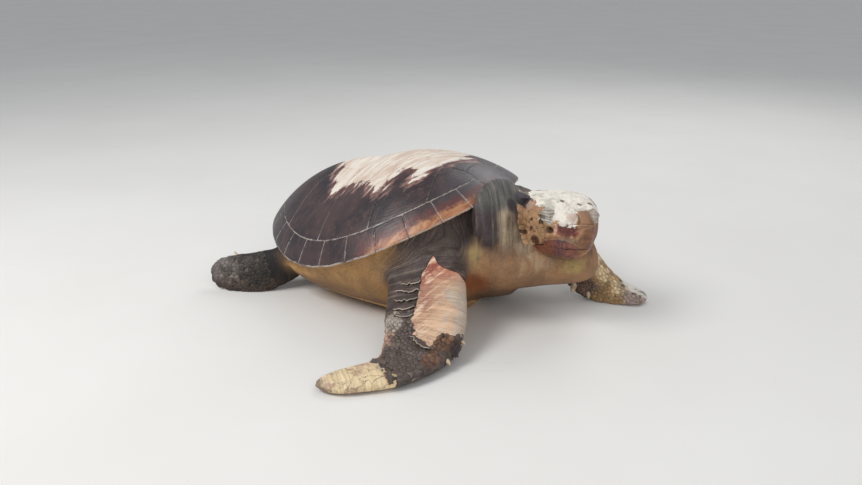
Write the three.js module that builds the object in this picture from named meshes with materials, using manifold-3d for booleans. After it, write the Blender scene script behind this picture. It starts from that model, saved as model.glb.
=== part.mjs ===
// A loggerhead turtle, life size, propped on its two front flippers with its head turned to its right.
//
// Millimetres and degrees. +X runs from tail to head along the body, +Y is the animal's left and +Z is up.
// The origin is the middle of the model's box, on the floor. The body (shell, plastron and trunk) is built in
// its own level frame and then tipped; the head is built in a frame of its own with +X along the snout.

import * as THREE from "three";
import { mergeVertices } from "three/addons/utils/BufferGeometryUtils.js";
import Module from "manifold-3d";

const wasm = await Module();
wasm.setup();

// ---------------------------------------------------------------- driving dimensions
const SHELL_LENGTH = 800;
const SHELL_WIDTH = 0.8 * SHELL_LENGTH;
const DOME_HEIGHT = 0.215 * SHELL_LENGTH;
const SHELL_WALL = 11;
const MARGINAL_SHARE = 0.858; // the marginal plates start at this share of the way out to the rim
const RIM_LEVEL = 0.175 * SHELL_LENGTH; // mean height of the shell's rim in the body frame
const BODY_PITCH = 14.6; // nose up
const BODY_ROLL = 2; // right side down
const BODY_PLACE = [47, 0, 80]; // the body frame's origin
const HEAD_LENGTH = 0.3 * SHELL_LENGTH;
const HEAD_WIDTH = 0.278 * SHELL_LENGTH;
const HEAD_PLACE = [462, 82, 266]; // back of the skull, on the head's axis
const HEAD_TURN = -49; // to its right
const HEAD_NOD = 5; // beak up
const HEAD_TILT = -5; // crown to its left
const EYE_RADIUS = 17;
const PLASTRON_TOP = 46; // height over the floor where the plastron ends and the softer flank starts
const GAP = 0.3; // clearance between neighbouring pieces
const MARGINAL_PAIRS = 12;
const SLIVER = 0.06; // faces thinner than this are merged into their neighbours

// ---------------------------------------------------------------- finishes
const finish = (color, roughness) => new THREE.MeshStandardMaterial({ color, roughness, metalness: 0 });
const FINISHES = {
  shell: finish(0x3a2526, 0.35),
  plastron: finish(0xc9995a, 0.55),
  skin: finish(0x57504b, 0.7),
  throat: finish(0xa98a62, 0.7),
  head: finish(0xb5916a, 0.6),
  beak: finish(0x8a5a3c, 0.5),
  eye: finish(0x8d9088, 0.25),
  claw: finish(0xcdb79a, 0.5),
};

// ---------------------------------------------------------------- solids
const radians = THREE.MathUtils.degToRad;
const vector = (list) => new THREE.Vector3(...list);

/** A closed three.js geometry as a manifold solid that faces outwards. */
function solid(geometry) {
  const bare = geometry.clone().deleteAttribute("normal").deleteAttribute("uv");
  const merged = mergeVertices(bare, 1e-3);
  const corners = new Uint32Array(merged.index.array);
  const build = () =>
    new wasm.Manifold(
      new wasm.Mesh({ numProp: 3, vertProperties: merged.attributes.position.array, triVerts: corners }),
    );
  const made = build();
  if (made.volume() > 0) return made;
  corners.reverse();
  return build();
}

/** A named mesh of a manifold solid. */
function piece(name, made, material) {
  const { vertProperties, triVerts } = made.getMesh();
  const geometry = new THREE.BufferGeometry();
  geometry.setAttribute("position", new THREE.BufferAttribute(vertProperties, 3));
  geometry.setIndex(new THREE.BufferAttribute(triVerts, 1));
  geometry.computeVertexNormals();
  const mesh = new THREE.Mesh(geometry, material);
  mesh.name = name;
  return mesh;
}

/** The solid made bigger, or smaller for a gap below zero, by that gap on every side of its box. */
function grown(made, gap) {
  const { min, max } = made.boundingBox();
  const middle = min.map((low, i) => (low + max[i]) / 2);
  const share = min.map((low, i) => 1 + (2 * gap) / (max[i] - low));
  return made.translate(middle.map((m) => -m)).scale(share).translate(middle);
}

/** The largest separate body of a cut solid, without the slivers that cutting leaves along its edges. */
function largest(made) {
  return made.decompose().reduce((a, b) => (a.volume() > b.volume() ? a : b)).simplify(SLIVER);
}

/** A solid of rings from pole to pole: at(t, turn) is the point at share t of the way, turn radians round. */
function loft(around, along, at) {
  const shape = new THREE.SphereGeometry(1, around, along);
  const { position, uv } = shape.attributes;
  for (let i = 0; i < position.count; i++) {
    const t = 0.5 - 0.5 * Math.cos(Math.PI * (1 - uv.getY(i)));
    const point = at(t, uv.getX(i) * 2 * Math.PI);
    position.setXYZ(i, point.x, point.y, point.z);
  }
  return solid(shape);
}

/** 0 at both ends of a loft and 1 between its rounded caps, whose lengths are shares of the whole. */
function rounding(t, startCap, endCap) {
  const start = Math.min(1, t / startCap);
  const end = Math.min(1, (1 - t) / endCap);
  return Math.sqrt(1 - (1 - start) ** 2) * Math.sqrt(1 - (1 - end) ** 2);
}

/**
 * The cross-section at share t of a limb with stations {at, chord, width, thick}: its centre, the direction of
 * the blade's breadth, half breadth and half thickness.
 */
function sectionOf(stations) {
  const spine = new THREE.CatmullRomCurve3(stations.map((s) => vector(s.at)));
  const breadth = new THREE.CatmullRomCurve3(stations.map((s) => vector(s.chord).normalize()));
  const size = new THREE.CatmullRomCurve3(stations.map((s) => new THREE.Vector3(s.width, s.thick, 0)));
  return (t) => {
    const centre = spine.getPoint(t);
    const tangent = spine.getTangent(t);
    const chord = breadth.getPoint(t);
    chord.addScaledVector(tangent, -chord.dot(tangent)).normalize();
    const normal = new THREE.Vector3().crossVectors(tangent, chord);
    const { x: width, y: thick } = size.getPoint(t);
    return { centre, tangent, chord, normal, width, thick };
  };
}

const LEAD = 0.3; // how much thicker a limb is at its leading edge, and thinner at its trailing edge

/** A limb, thicker towards its chord's own side, which is the leading edge. */
function limb(stations, around, along, startCap, endCap) {
  const section = sectionOf(stations);
  return loft(around, along, (t, turn) => {
    const { centre, chord, normal, width, thick } = section(t);
    const round = rounding(t, startCap, endCap);
    const lead = 1 + LEAD * Math.cos(turn);
    return centre
      .addScaledVector(chord, Math.cos(turn) * width * round)
      .addScaledVector(normal, Math.sin(turn) * thick * lead * round);
  });
}

/** The plan outline, a list of [x, y], as an upright prism that reaches far above and below. */
function prism(outline) {
  const reach = SHELL_LENGTH;
  const shape = new THREE.Shape(outline.map(([x, y]) => new THREE.Vector2(x, y)));
  const made = new THREE.ExtrudeGeometry(shape, { depth: 2 * reach, bevelEnabled: false });
  return solid(made.translate(0, 0, -reach));
}

/** A side outline, a list of [x, z], as a bar that reaches far to the left and right. */
function sideBar(outline, reach) {
  const shape = new THREE.Shape(outline.map(([x, z]) => new THREE.Vector2(x, z)));
  const made = new THREE.ExtrudeGeometry(shape, { depth: 2 * reach, bevelEnabled: false });
  return solid(made.translate(0, 0, -reach).rotateX(Math.PI / 2));
}

/** A closed plan outline with every side moved in by the gap. */
function inset(outline, gap) {
  const signed = outline.reduce((sum, [x, y], i) => {
    const [nx, ny] = outline[(i + 1) % outline.length];
    return sum + x * ny - nx * y;
  }, 0);
  const side = Math.sign(signed);
  return outline.map(([x, y], i) => {
    const [px, py] = outline[(i + outline.length - 1) % outline.length];
    const [nx, ny] = outline[(i + 1) % outline.length];
    const before = new THREE.Vector2(x - px, y - py).normalize();
    const after = new THREE.Vector2(nx - x, ny - y).normalize();
    const inward = new THREE.Vector2(-before.y - after.y, before.x + after.x).normalize();
    const reach = gap / Math.max(0.5, inward.dot(new THREE.Vector2(-before.y, before.x)));
    return [x + side * inward.x * reach, y + side * inward.y * reach];
  });
}

// ---------------------------------------------------------------- carapace, in the body frame
const CENTRE_X = 0.03 * SHELL_LENGTH; // crown of the dome, ahead of mid length
const RIM_TAPER = [1, 0.128, -0.028]; // the half width by no, one and two times the bearing
const WIDTH_AT_TAPER = 0.985; // keeps the widest place at the shell's width
const NAPE_RISE = 45; // how far the rim rises over the neck and the tail, against its sides
const TAIL_RISE = 11; // how much more it rises over the tail
const DOME_CURVE = [2.1, 0.888]; // the dome's section: powers of the way out and of the height

/** Plan point of the shell: 0 at the crown to 1 at the rim, bearing 0 at the nape to PI at the tail. */
function shellPlan(out, bearing) {
  const rimX = (SHELL_LENGTH / 2) * Math.cos(bearing);
  const taper = RIM_TAPER.reduce((sum, share, i) => sum + share * Math.cos(i * bearing), 0);
  const rimY = (SHELL_WIDTH / 2) * Math.sin(bearing) * taper * WIDTH_AT_TAPER;
  return [CENTRE_X + out * (rimX - CENTRE_X), out * rimY];
}

/** Height of the rim: lowest at the sides, it rises over the neck and the tail. */
const rimLevel = (bearing) =>
  RIM_LEVEL + NAPE_RISE * Math.cos(2 * bearing) - TAIL_RISE * Math.cos(3 * bearing);

/**
 * The shell as a lens: rise is its dome's height, hang the depth of its underside and share how far out to the
 * rim it reaches in plan.
 */
function lens(around, along, rise, hang, share) {
  const shape = new THREE.SphereGeometry(1, around, along);
  const { position, uv } = shape.attributes;
  for (let i = 0; i < position.count; i++) {
    const bearing = uv.getX(i) * 2 * Math.PI;
    const slant = Math.PI * (1 - uv.getY(i));
    const out = Math.sin(slant);
    const [x, y] = shellPlan(out * share, bearing);
    const up = slant < Math.PI / 2;
    const level = THREE.MathUtils.lerp(RIM_LEVEL, rimLevel(bearing), out);
    const dome = (1 - out ** DOME_CURVE[0]) ** DOME_CURVE[1];
    position.setXYZ(i, x, y, level + dome * (up ? rise : -hang));
  }
  return solid(shape);
}

const RIM_DEPTH = 30;
const shellBody = lens(40, 16, DOME_HEIGHT, RIM_DEPTH, 1);
const shellHollow = lens(20, 10, DOME_HEIGHT - SHELL_WALL, 6 * RIM_DEPTH, MARGINAL_SHARE + 0.03);
const shellWall = shellBody.subtract(shellHollow);
const mirrored = (outline) => outline.map(([x, y]) => [x, -y]).reverse();
const NUCHAL_EDGE = radians(11); // bearing of the seam between the nuchal plate and the first marginal
const MARGINAL_SPAN = (Math.PI - NUCHAL_EDGE) / MARGINAL_PAIRS;
const ringPoint = (bearing) => shellPlan(MARGINAL_SHARE, bearing);

/** The marginals' inner edge, all the way round. */
function ringOutline() {
  const left = Array.from({ length: 2 * MARGINAL_PAIRS + 1 }, (_, i) =>
    ringPoint(NUCHAL_EDGE + (MARGINAL_SPAN * i) / 2),
  );
  return [ringPoint(0), ...left, ...mirrored(left).slice(1)];
}

const innerWall = shellWall.intersect(prism(inset(ringOutline(), GAP / 2)));
const rimWall = shellWall.subtract(prism(inset(ringOutline(), -GAP / 2)));

// Seams across the back, from nape to tail, as shares of half the length.
const VERTEBRAL_SEAMS = [0.77, 0.5, 0.15, -0.21, -0.54].map((s) => (s * SHELL_LENGTH) / 2);
const VERTEBRAL_HALF_WIDTH = 0.058 * SHELL_LENGTH; // at the seams
const FIRST_HALF_WIDTH = 0.064 * SHELL_LENGTH; // at the first plate's front
const VERTEBRAL_CORNER = 0.024 * SHELL_LENGTH; // how far each side's middle corner stands out
// Bearings where the seams between costals meet the marginals.
const COSTAL_BEARINGS = [45, 72, 101, 132, 161].map(radians);
const PAST_RING = MARGINAL_SHARE + 0.06; // inner plates are outlined to here and cut off at the ring
const SHORT_OF_RING = MARGINAL_SHARE - 0.1; // marginals are outlined from here
const PAST_RIM = 1.1;

const middleOf = (i) => (VERTEBRAL_SEAMS[i] + VERTEBRAL_SEAMS[i + 1]) / 2;

/** The left edge of vertebral i, from its front corner past its middle corner; the last ends at the ring. */
function vertebralEdge(i) {
  const front = [VERTEBRAL_SEAMS[i], i === 0 ? FIRST_HALF_WIDTH : VERTEBRAL_HALF_WIDTH];
  if (i === 4) return [front, shellPlan(PAST_RING, COSTAL_BEARINGS[4])];
  const corner = [middleOf(i), VERTEBRAL_HALF_WIDTH + VERTEBRAL_CORNER];
  return [front, corner, [VERTEBRAL_SEAMS[i + 1], VERTEBRAL_HALF_WIDTH]];
}

function vertebralOutline(i) {
  const left = vertebralEdge(i);
  return [...left, ...mirrored(left)];
}

/** The left costal i of five: between the vertebrals' middle corners and the marginals. */
function costalOutline(i) {
  const [front, corner] = vertebralEdge(i);
  const from = i === 0 ? NUCHAL_EDGE : COSTAL_BEARINGS[i - 1];
  const start = i === 0 ? ringPoint(from) : shellPlan(PAST_RING, from);
  const middle = shellPlan(PAST_RING, (from + COSTAL_BEARINGS[i]) / 2);
  const outer = [start, middle, shellPlan(PAST_RING, COSTAL_BEARINGS[i])];
  if (i === 0) return [corner, front, ...outer];
  const inner = [front, vertebralEdge(i - 1)[1]];
  return i === 4 ? [...inner, ...outer] : [corner, ...inner, ...outer];
}

function nuchalOutline() {
  const left = [vertebralEdge(0)[0], ringPoint(NUCHAL_EDGE), shellPlan(PAST_RIM, NUCHAL_EDGE)];
  return [...left, ...mirrored(left)];
}

/** The left marginal i, from the nape's side to the tail. */
function marginalOutline(i) {
  const from = NUCHAL_EDGE + MARGINAL_SPAN * i;
  const corners = [SHORT_OF_RING, PAST_RIM].map((out) =>
    [0, 1].map((step) => shellPlan(out, from + step * MARGINAL_SPAN)),
  );
  return [...corners[0], ...corners[1].reverse()];
}

/** One plate of the shell: the part of its wall inside the outline. */
function plate(name, wall, outline) {
  return piece(name, largest(wall.intersect(prism(inset(outline, GAP / 2)))), FINISHES.shell);
}

function carapace() {
  const group = new THREE.Group();
  group.add(plate("scute_nuchal", shellWall, nuchalOutline()));
  for (let i = 0; i < 5; i++) {
    group.add(plate(`scute_vertebral_${i + 1}`, innerWall, vertebralOutline(i)));
    group.add(plate(`scute_costal_left_${i + 1}`, innerWall, costalOutline(i)));
    group.add(plate(`scute_costal_right_${i + 1}`, innerWall, mirrored(costalOutline(i))));
  }
  for (let i = 0; i < MARGINAL_PAIRS; i++) {
    group.add(plate(`scute_marginal_left_${i + 1}`, rimWall, marginalOutline(i)));
    group.add(plate(`scute_marginal_right_${i + 1}`, rimWall, mirrored(marginalOutline(i))));
  }
  return group;
}

// ---------------------------------------------------------------- trunk and plastron, in the body frame
const TRUNK_FRONT = 0.465 * SHELL_LENGTH;
const TRUNK_REAR = -0.462 * SHELL_LENGTH;

/** Smooth curve through [x, value] pairs, as a function of x. */
function profile(pairs) {
  const curve = new THREE.SplineCurve(pairs.map(([x, value]) => new THREE.Vector2(x, value)));
  const samples = curve.getPoints(160);
  return (x) => {
    const after = Math.max(1, samples.findIndex((p) => p.x >= x));
    const [a, b] = [samples[after - 1], samples[after]];
    return a.y + ((b.y - a.y) * (x - a.x)) / Math.max(1e-9, b.x - a.x);
  };
}

const power = (value, exponent) => Math.sign(value) * Math.abs(value) ** exponent;

// The belly's depth under the rim, swollen at the chest, and half the trunk's width, from tail to neck.
const bellyDepth = profile([
  [-0.5, 70],
  [-0.37, 114],
  [-0.25, 154],
  [0, 228],
  [0.22, 286],
  [0.34, 272],
  [0.5, 150],
]);
const trunkHalfWidth = profile([
  [-0.5, 150],
  [-0.37, 232],
  [-0.2, 277],
  [0, 296],
  [0.2, 288],
  [0.35, 240],
  [0.5, 160],
]);
const BACK_HEIGHT = 0.88 * DOME_HEIGHT; // the flesh under the shell, over the rim
const BACK_SQUARENESS = 1;
const BELLY_SQUARENESS = 0.74;

/** The swollen trunk, between the shell's hollow and the floor. */
const trunkBody = loft(20, 10, (t, turn) => {
  const x = THREE.MathUtils.lerp(TRUNK_REAR, TRUNK_FRONT, t);
  const share = x / SHELL_LENGTH;
  const round = rounding(t, 0.3, 0.26);
  const up = Math.sin(turn);
  const height = up > 0 ? BACK_HEIGHT : bellyDepth(share);
  const squareness = up > 0 ? BACK_SQUARENESS : BELLY_SQUARENESS;
  return new THREE.Vector3(
    x,
    power(Math.cos(turn), squareness) * trunkHalfWidth(share) * round,
    RIM_LEVEL + power(up, squareness) * height * round,
  );
});

const shellClearance = grown(shellBody, GAP).subtract(grown(shellHollow, -GAP));
const bodyFlesh = largest(trunkBody.subtract(shellClearance));

// ---------------------------------------------------------------- head, in its own frame
const SKULL_TOP = 0.36 * HEAD_WIDTH;
const SKULL_BASE = -0.385 * HEAD_WIDTH;

// Shares of the head's length from the nape to the beak's tip, with shares of its width, top and base.
const headHalfWidth = profile([
  [0, 0.42],
  [0.15, 0.49],
  [0.35, 0.5],
  [0.55, 0.44],
  [0.75, 0.33],
  [0.9, 0.22],
  [1, 0.14],
]);
const headTop = profile([[0, 0.82], [0.2, 0.98], [0.4, 1], [0.6, 0.9], [0.78, 0.66], [0.92, 0.4], [1, 0.22]]);
const headBase = profile([[0, 0.9], [0.25, 1], [0.5, 0.97], [0.72, 0.86], [0.88, 0.72], [1, 0.58]]);
const HEAD_DROOP = 0.04 * HEAD_WIDTH; // how far the snout's middle line sinks by the beak's tip
const CROWN_SQUARENESS = 0.64; // 1 is an ellipse, lower is boxier
const JAW_SQUARENESS = 0.8;

const skull = loft(22, 13, (t, turn) => {
  const round = rounding(t, 0.22, 0.09);
  const up = Math.sin(turn);
  const squareness = up > 0 ? CROWN_SQUARENESS : JAW_SQUARENESS;
  const level = up > 0 ? headTop(t) * SKULL_TOP : headBase(t) * -SKULL_BASE;
  return new THREE.Vector3(
    HEAD_LENGTH * t,
    power(Math.cos(turn), squareness) * headHalfWidth(t) * HEAD_WIDTH * round,
    power(up, squareness) * level * round - HEAD_DROOP * t,
  );
});

// The mouth runs from under the cheek to the beak's hooked tip: [share of length, share of width].
const MOUTH = [[0.5, -0.27], [0.62, -0.23], [0.8, -0.18], [0.93, -0.175], [1.1, -0.2]];
const mouthCurve = new THREE.SplineCurve(
  MOUTH.map(([x, z]) => new THREE.Vector2(x * HEAD_LENGTH, z * HEAD_WIDTH)),
);
const mouthLine = mouthCurve.getPoints(6).map((p) => [p.x, p.y]);
const headShare = ([x, z]) => [x * HEAD_LENGTH, z * HEAD_WIDTH];
// Under the chin and up to the cheek.
const JAW_BACK = [[1.1, -0.6], [0.5, -0.6], [0.47, -0.36]].map(headShare);
// Over the snout and down to the mouth.
const BEAK_BACK = [[1.1, 0.12], [0.84, 0.06], [0.8, -0.06], [0.76, -0.19]].map(headShare);

const jawBar = [...mouthLine, ...JAW_BACK];
const beakBar = [...mouthLine.filter(([x]) => x > BEAK_BACK.at(-1)[0]), ...BEAK_BACK];
const bar = (outline, gap) => sideBar(inset(outline, gap), HEAD_WIDTH);

const jawLower = largest(skull.intersect(bar(jawBar, GAP / 2)));
const beakUpper = largest(skull.intersect(bar(beakBar, GAP / 2)));
const EYE_AT = [0.72 * HEAD_LENGTH, 0.262 * HEAD_WIDTH, 0.13 * HEAD_WIDTH];
const eyeball = (side, radius) =>
  solid(new THREE.SphereGeometry(radius, 12, 7).translate(EYE_AT[0], side * EYE_AT[1], EYE_AT[2]));
const headFlesh = largest(
  skull
    .subtract(bar(jawBar, -GAP / 2))
    .subtract(bar(beakBar, -GAP / 2))
    .subtract(eyeball(1, EYE_RADIUS + GAP))
    .subtract(eyeball(-1, EYE_RADIUS + GAP)),
);

// ---------------------------------------------------------------- pose
const bodyGroup = new THREE.Group();
bodyGroup.rotation.set(radians(BODY_ROLL), radians(-BODY_PITCH), 0, "YXZ");
bodyGroup.position.set(...BODY_PLACE);
bodyGroup.updateMatrix();
const headGroup = new THREE.Group();
headGroup.rotation.set(radians(HEAD_TILT), radians(-HEAD_NOD), radians(HEAD_TURN), "ZYX");
headGroup.position.set(...HEAD_PLACE);
headGroup.updateMatrix();

const posed = (made, group) => made.transform(group.matrix.elements);
const unposed = (made, group) => made.transform(group.matrix.clone().invert().elements);

const FLOOR_REACH = 3 * SHELL_LENGTH;
const floor = solid(
  new THREE.BoxGeometry(FLOOR_REACH, FLOOR_REACH, SHELL_LENGTH).translate(0, 0, -SHELL_LENGTH / 2),
);

// ---------------------------------------------------------------- limbs, neck and tail, on the floor
const NECK = [
  { at: [200, 0, 166], chord: [0, 1, 0], width: 188, thick: 158 },
  { at: [300, 0, 172], chord: [0, 1, 0], width: 188, thick: 158 },
  { at: [400, 0, 190], chord: [0, 1, 0], width: 164, thick: 146 },
  { at: [480, 16, 180], chord: [0.1, 1, 0], width: 122, thick: 108 },
  { at: [545, 26, 172], chord: [0.2, 1, 0], width: 94, thick: 80 },
  { at: [592, 24, 176], chord: [0.3, 1, 0], width: 74, thick: 62 },
  { at: [628, 22, 184], chord: [0.3, 1, 0], width: 60, thick: 46 },
];

// The swollen fold of the neck's skin that lies over the shell's front edge, in the body frame.
const NAPE_FOLD = { at: [390, -62, 112], size: [64, 116, 102] };

// The right flipper comes down to its wrist and sweeps back; the left one reaches forward.
const FRONT_RIGHT = [
  { at: [215, -110, 210], chord: [0.87, 0.4, 0.2], width: 100, thick: 58 },
  { at: [236, -192, 208], chord: [0.87, 0.46, 0.1], width: 108, thick: 54 },
  { at: [284, -258, 132], chord: [0.87, 0.5, 0], width: 102, thick: 46 },
  { at: [319, -325, 74], chord: [0.87, 0.48, 0], width: 103, thick: 38 },
  { at: [335, -386, 39], chord: [0.92, 0.25, -0.1], width: 93, thick: 29 },
  { at: [328, -475, 22], chord: [0.85, -0.45, 0], width: 69, thick: 22 },
  { at: [268, -556, 17], chord: [0.75, -0.65, 0], width: 54, thick: 19 },
  { at: [204, -620, 15], chord: [0.72, -0.69, 0], width: 44, thick: 17 },
];
const FRONT_LEFT = [
  { at: [225, 110, 215], chord: [0.8, -0.4, 0.4], width: 80, thick: 56 },
  { at: [310, 180, 200], chord: [0.6, -0.3, 0.7], width: 84, thick: 48 },
  { at: [425, 214, 158], chord: [0.45, 0.2, 0.85], width: 72, thick: 40 },
  { at: [505, 212, 104], chord: [0.38, 0.45, 0.78], width: 64, thick: 32 },
  { at: [562, 198, 58], chord: [0.35, 0.6, 0.7], width: 64, thick: 24 },
  { at: [626, 208, 27], chord: [0.1, 0.8, 0.45], width: 54, thick: 18 },
  { at: [680, 224, 15], chord: [-0.1, 0.9, 0.2], width: 49, thick: 16 },
  { at: [726, 240, 12], chord: [-0.2, 0.95, 0.05], width: 40, thick: 14 },
];
const REAR_RIGHT = [
  { at: [-190, -120, 96], chord: [0.1, -0.3, 0.95], width: 50, thick: 42 },
  { at: [-238, -200, 72], chord: [0.1, 0.1, 0.95], width: 58, thick: 38 },
  { at: [-300, -252, 52], chord: [0.05, 0.35, 0.93], width: 62, thick: 28 },
  { at: [-350, -278, 49], chord: [0, 0.35, 0.93], width: 59, thick: 18 },
  { at: [-395, -296, 47], chord: [0, 0.35, 0.93], width: 50, thick: 13 },
  { at: [-436, -308, 44], chord: [0, 0.35, 0.93], width: 34, thick: 9 },
];
const REAR_LEFT = [
  { at: [-190, 120, 100], chord: [0.5, 0.4, 0.5], width: 50, thick: 42 },
  { at: [-245, 185, 72], chord: [0.5, 0.6, 0.3], width: 56, thick: 36 },
  { at: [-315, 228, 40], chord: [0.5, 0.8, 0.1], width: 60, thick: 24 },
  { at: [-372, 262, 15], chord: [0.55, 0.8, 0], width: 58, thick: 17 },
  { at: [-420, 290, 11], chord: [0.6, 0.78, 0], width: 46, thick: 14 },
  { at: [-458, 312, 9], chord: [0.6, 0.78, 0], width: 28, thick: 11 },
];
const TAIL = [
  { at: [-230, 0, 80], chord: [0, 1, 0], width: 56, thick: 44 },
  { at: [-310, 0, 62], chord: [0, 1, 0], width: 44, thick: 34 },
  { at: [-375, 0, 42], chord: [0, 1, 0], width: 28, thick: 22 },
  { at: [-425, 0, 26], chord: [0, 1, 0], width: 14, thick: 12 },
];

const bodyClearance = posed(grown(trunkBody, GAP).add(grown(shellBody, GAP)), bodyGroup).add(floor);
const headPosed = posed(grown(skull, GAP), headGroup);
const fold = solid(new THREE.SphereGeometry(1, 12, 8).scale(...NAPE_FOLD.size).translate(...NAPE_FOLD.at));
const neckWhole = limb(NECK, 20, 10, 0.2, 0.16).add(posed(fold, bodyGroup));
const neck = largest(neckWhole.subtract(bodyClearance).subtract(headPosed));
const neckGrown = grown(neckWhole, GAP).add(headPosed);

/** A limb cut free of the body, the neck and the floor. */
const flesh = (stations, around, along, startCap, endCap) =>
  largest(limb(stations, around, along, startCap, endCap).subtract(bodyClearance).subtract(neckGrown));

const frontRight = flesh(FRONT_RIGHT, 14, 18, 0.1, 0.12);
const frontLeft = flesh(FRONT_LEFT, 14, 18, 0.1, 0.12);
const rearRight = flesh(REAR_RIGHT, 14, 12, 0.1, 0.2);
const rearLeft = flesh(REAR_LEFT, 14, 12, 0.1, 0.2);
const tail = flesh(TAIL, 12, 8, 0.2, 0.3);

const CLAW_RAKE = 0.5; // how far a claw points along the limb, against straight out of it
const CLAW_STOUTNESS = 0.34; // a claw's radius against its length
const CLAW_SEAT = 0.12; // share of a claw's length by which its middle lies inside the limb's edge

/** A claw on a limb's edge at share t of the way, on the leading (+1) or trailing (-1) side. */
function claw(stations, flipper, { t, side, length }) {
  const { centre, tangent, chord, width } = sectionOf(stations)(t);
  const towards = chord.clone().multiplyScalar(side).addScaledVector(tangent, CLAW_RAKE).normalize();
  const cone = new THREE.ConeGeometry(CLAW_STOUTNESS * length, length, 9);
  cone.applyQuaternion(new THREE.Quaternion().setFromUnitVectors(new THREE.Vector3(0, 1, 0), towards));
  const middle = centre.addScaledVector(chord, side * (width - CLAW_SEAT * length));
  cone.translate(middle.x, middle.y, middle.z);
  return largest(solid(cone).subtract(grown(flipper, GAP)).subtract(floor));
}

const CLAWS_FRONT_RIGHT = [0.5, 0.6].map((t) => ({ t, side: 1, length: 36 }));
const CLAWS_FRONT_LEFT = [0.56, 0.63].map((t) => ({ t, side: -1, length: 44 }));
const CLAW_REAR_RIGHT = { t: 0.62, side: 1, length: 32 };
const CLAW_REAR_LEFT = { t: 0.62, side: 1, length: 32 };

// ---------------------------------------------------------------- assembly
const turtle = new THREE.Group();
const standing = new THREE.Group();
turtle.add(standing);
standing.add(bodyGroup, headGroup);

bodyGroup.add(carapace());
const floorInBody = unposed(floor, bodyGroup);
const restedFlesh = bodyFlesh.subtract(floorInBody);
const bellyCut = (side) => {
  const slab = new THREE.BoxGeometry(FLOOR_REACH, FLOOR_REACH, SHELL_LENGTH);
  const level = PLASTRON_TOP + side * (SHELL_LENGTH + GAP) / 2;
  return unposed(solid(slab.translate(0, 0, level)), bodyGroup);
};
bodyGroup.add(piece("trunk", largest(restedFlesh.intersect(bellyCut(1))), FINISHES.skin));
bodyGroup.add(piece("plastron", largest(restedFlesh.intersect(bellyCut(-1))), FINISHES.plastron));
headGroup.add(piece("head", headFlesh, FINISHES.head));
headGroup.add(piece("beak_upper", beakUpper, FINISHES.beak));
headGroup.add(piece("jaw_lower", jawLower, FINISHES.beak));
headGroup.add(piece("eye_left", eyeball(1, EYE_RADIUS), FINISHES.eye));
headGroup.add(piece("eye_right", eyeball(-1, EYE_RADIUS), FINISHES.eye));
standing.add(piece("neck", neck, FINISHES.throat));
standing.add(piece("front_flipper_right", frontRight, FINISHES.skin));
standing.add(piece("front_flipper_left", frontLeft, FINISHES.skin));
standing.add(piece("rear_flipper_right", rearRight, FINISHES.skin));
standing.add(piece("rear_flipper_left", rearLeft, FINISHES.skin));
standing.add(piece("tail", tail, FINISHES.skin));
CLAWS_FRONT_RIGHT.forEach((place, i) => {
  standing.add(piece(`claw_front_right_${i + 1}`, claw(FRONT_RIGHT, frontRight, place), FINISHES.claw));
});
CLAWS_FRONT_LEFT.forEach((place, i) => {
  standing.add(piece(`claw_front_left_${i + 1}`, claw(FRONT_LEFT, frontLeft, place), FINISHES.claw));
});
standing.add(piece("claw_rear_right", claw(REAR_RIGHT, rearRight, CLAW_REAR_RIGHT), FINISHES.claw));
standing.add(piece("claw_rear_left", claw(REAR_LEFT, rearLeft, CLAW_REAR_LEFT), FINISHES.claw));

turtle.updateMatrixWorld(true);
const box = new THREE.Box3().setFromObject(turtle, true);
const middle = box.getCenter(new THREE.Vector3());
standing.position.set(-middle.x, -middle.y, -box.min.z);

export default turtle;
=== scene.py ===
"""Looks for a life-size loggerhead turtle, propped on its two front flippers.

The model is in metres: +X runs from tail to head, +Y is the animal's left, +Z is up and the floor is at 0.
Measures of the animal are in millimetres, in its own frame or in the frames of its body and head.
"""

import math
from itertools import product

import bmesh
import bpy
import numpy as np
from mathutils import Euler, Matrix, Vector, kdtree, noise
from mathutils.bvhtree import BVHTree


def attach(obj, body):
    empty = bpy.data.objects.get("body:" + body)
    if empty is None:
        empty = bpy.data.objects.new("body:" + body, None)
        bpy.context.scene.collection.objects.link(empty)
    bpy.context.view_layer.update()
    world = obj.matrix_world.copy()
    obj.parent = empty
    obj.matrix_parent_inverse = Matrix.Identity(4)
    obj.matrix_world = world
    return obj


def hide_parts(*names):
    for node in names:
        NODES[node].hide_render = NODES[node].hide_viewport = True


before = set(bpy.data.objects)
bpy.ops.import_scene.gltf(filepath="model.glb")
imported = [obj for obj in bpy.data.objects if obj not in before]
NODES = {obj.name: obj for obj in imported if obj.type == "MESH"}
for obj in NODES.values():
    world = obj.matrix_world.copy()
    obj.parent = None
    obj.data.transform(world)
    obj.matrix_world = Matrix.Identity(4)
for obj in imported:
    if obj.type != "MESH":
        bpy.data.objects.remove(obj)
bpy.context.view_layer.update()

# ---------------------------------------------------------------- frames
MM = 0.001
SHIFT = np.array([-133.715, 149.07, 0.0])  # from the animal's own origin to the model's


def turned(degrees):
    """Rotation matrix for turns about X, then Y, then Z."""
    return np.array(Euler([math.radians(a) for a in degrees]).to_matrix())


BODY = (turned((2, -14.6, 0)), np.array([47, 0, 80]) + SHIFT)
HEAD = (turned((-5, -5, -49)), np.array([462, 82, 266]) + SHIFT)
WORLD = (np.eye(3), SHIFT)


def placed(points, place):
    """Points of a frame, in millimetres, as model points in metres."""
    turn, at = place
    return (np.asarray(points) @ turn.T + at) * MM


def local(points, place):
    """Model points in metres as points of a frame, in millimetres."""
    turn, at = place
    return (np.asarray(points) / MM - at) @ turn


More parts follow.
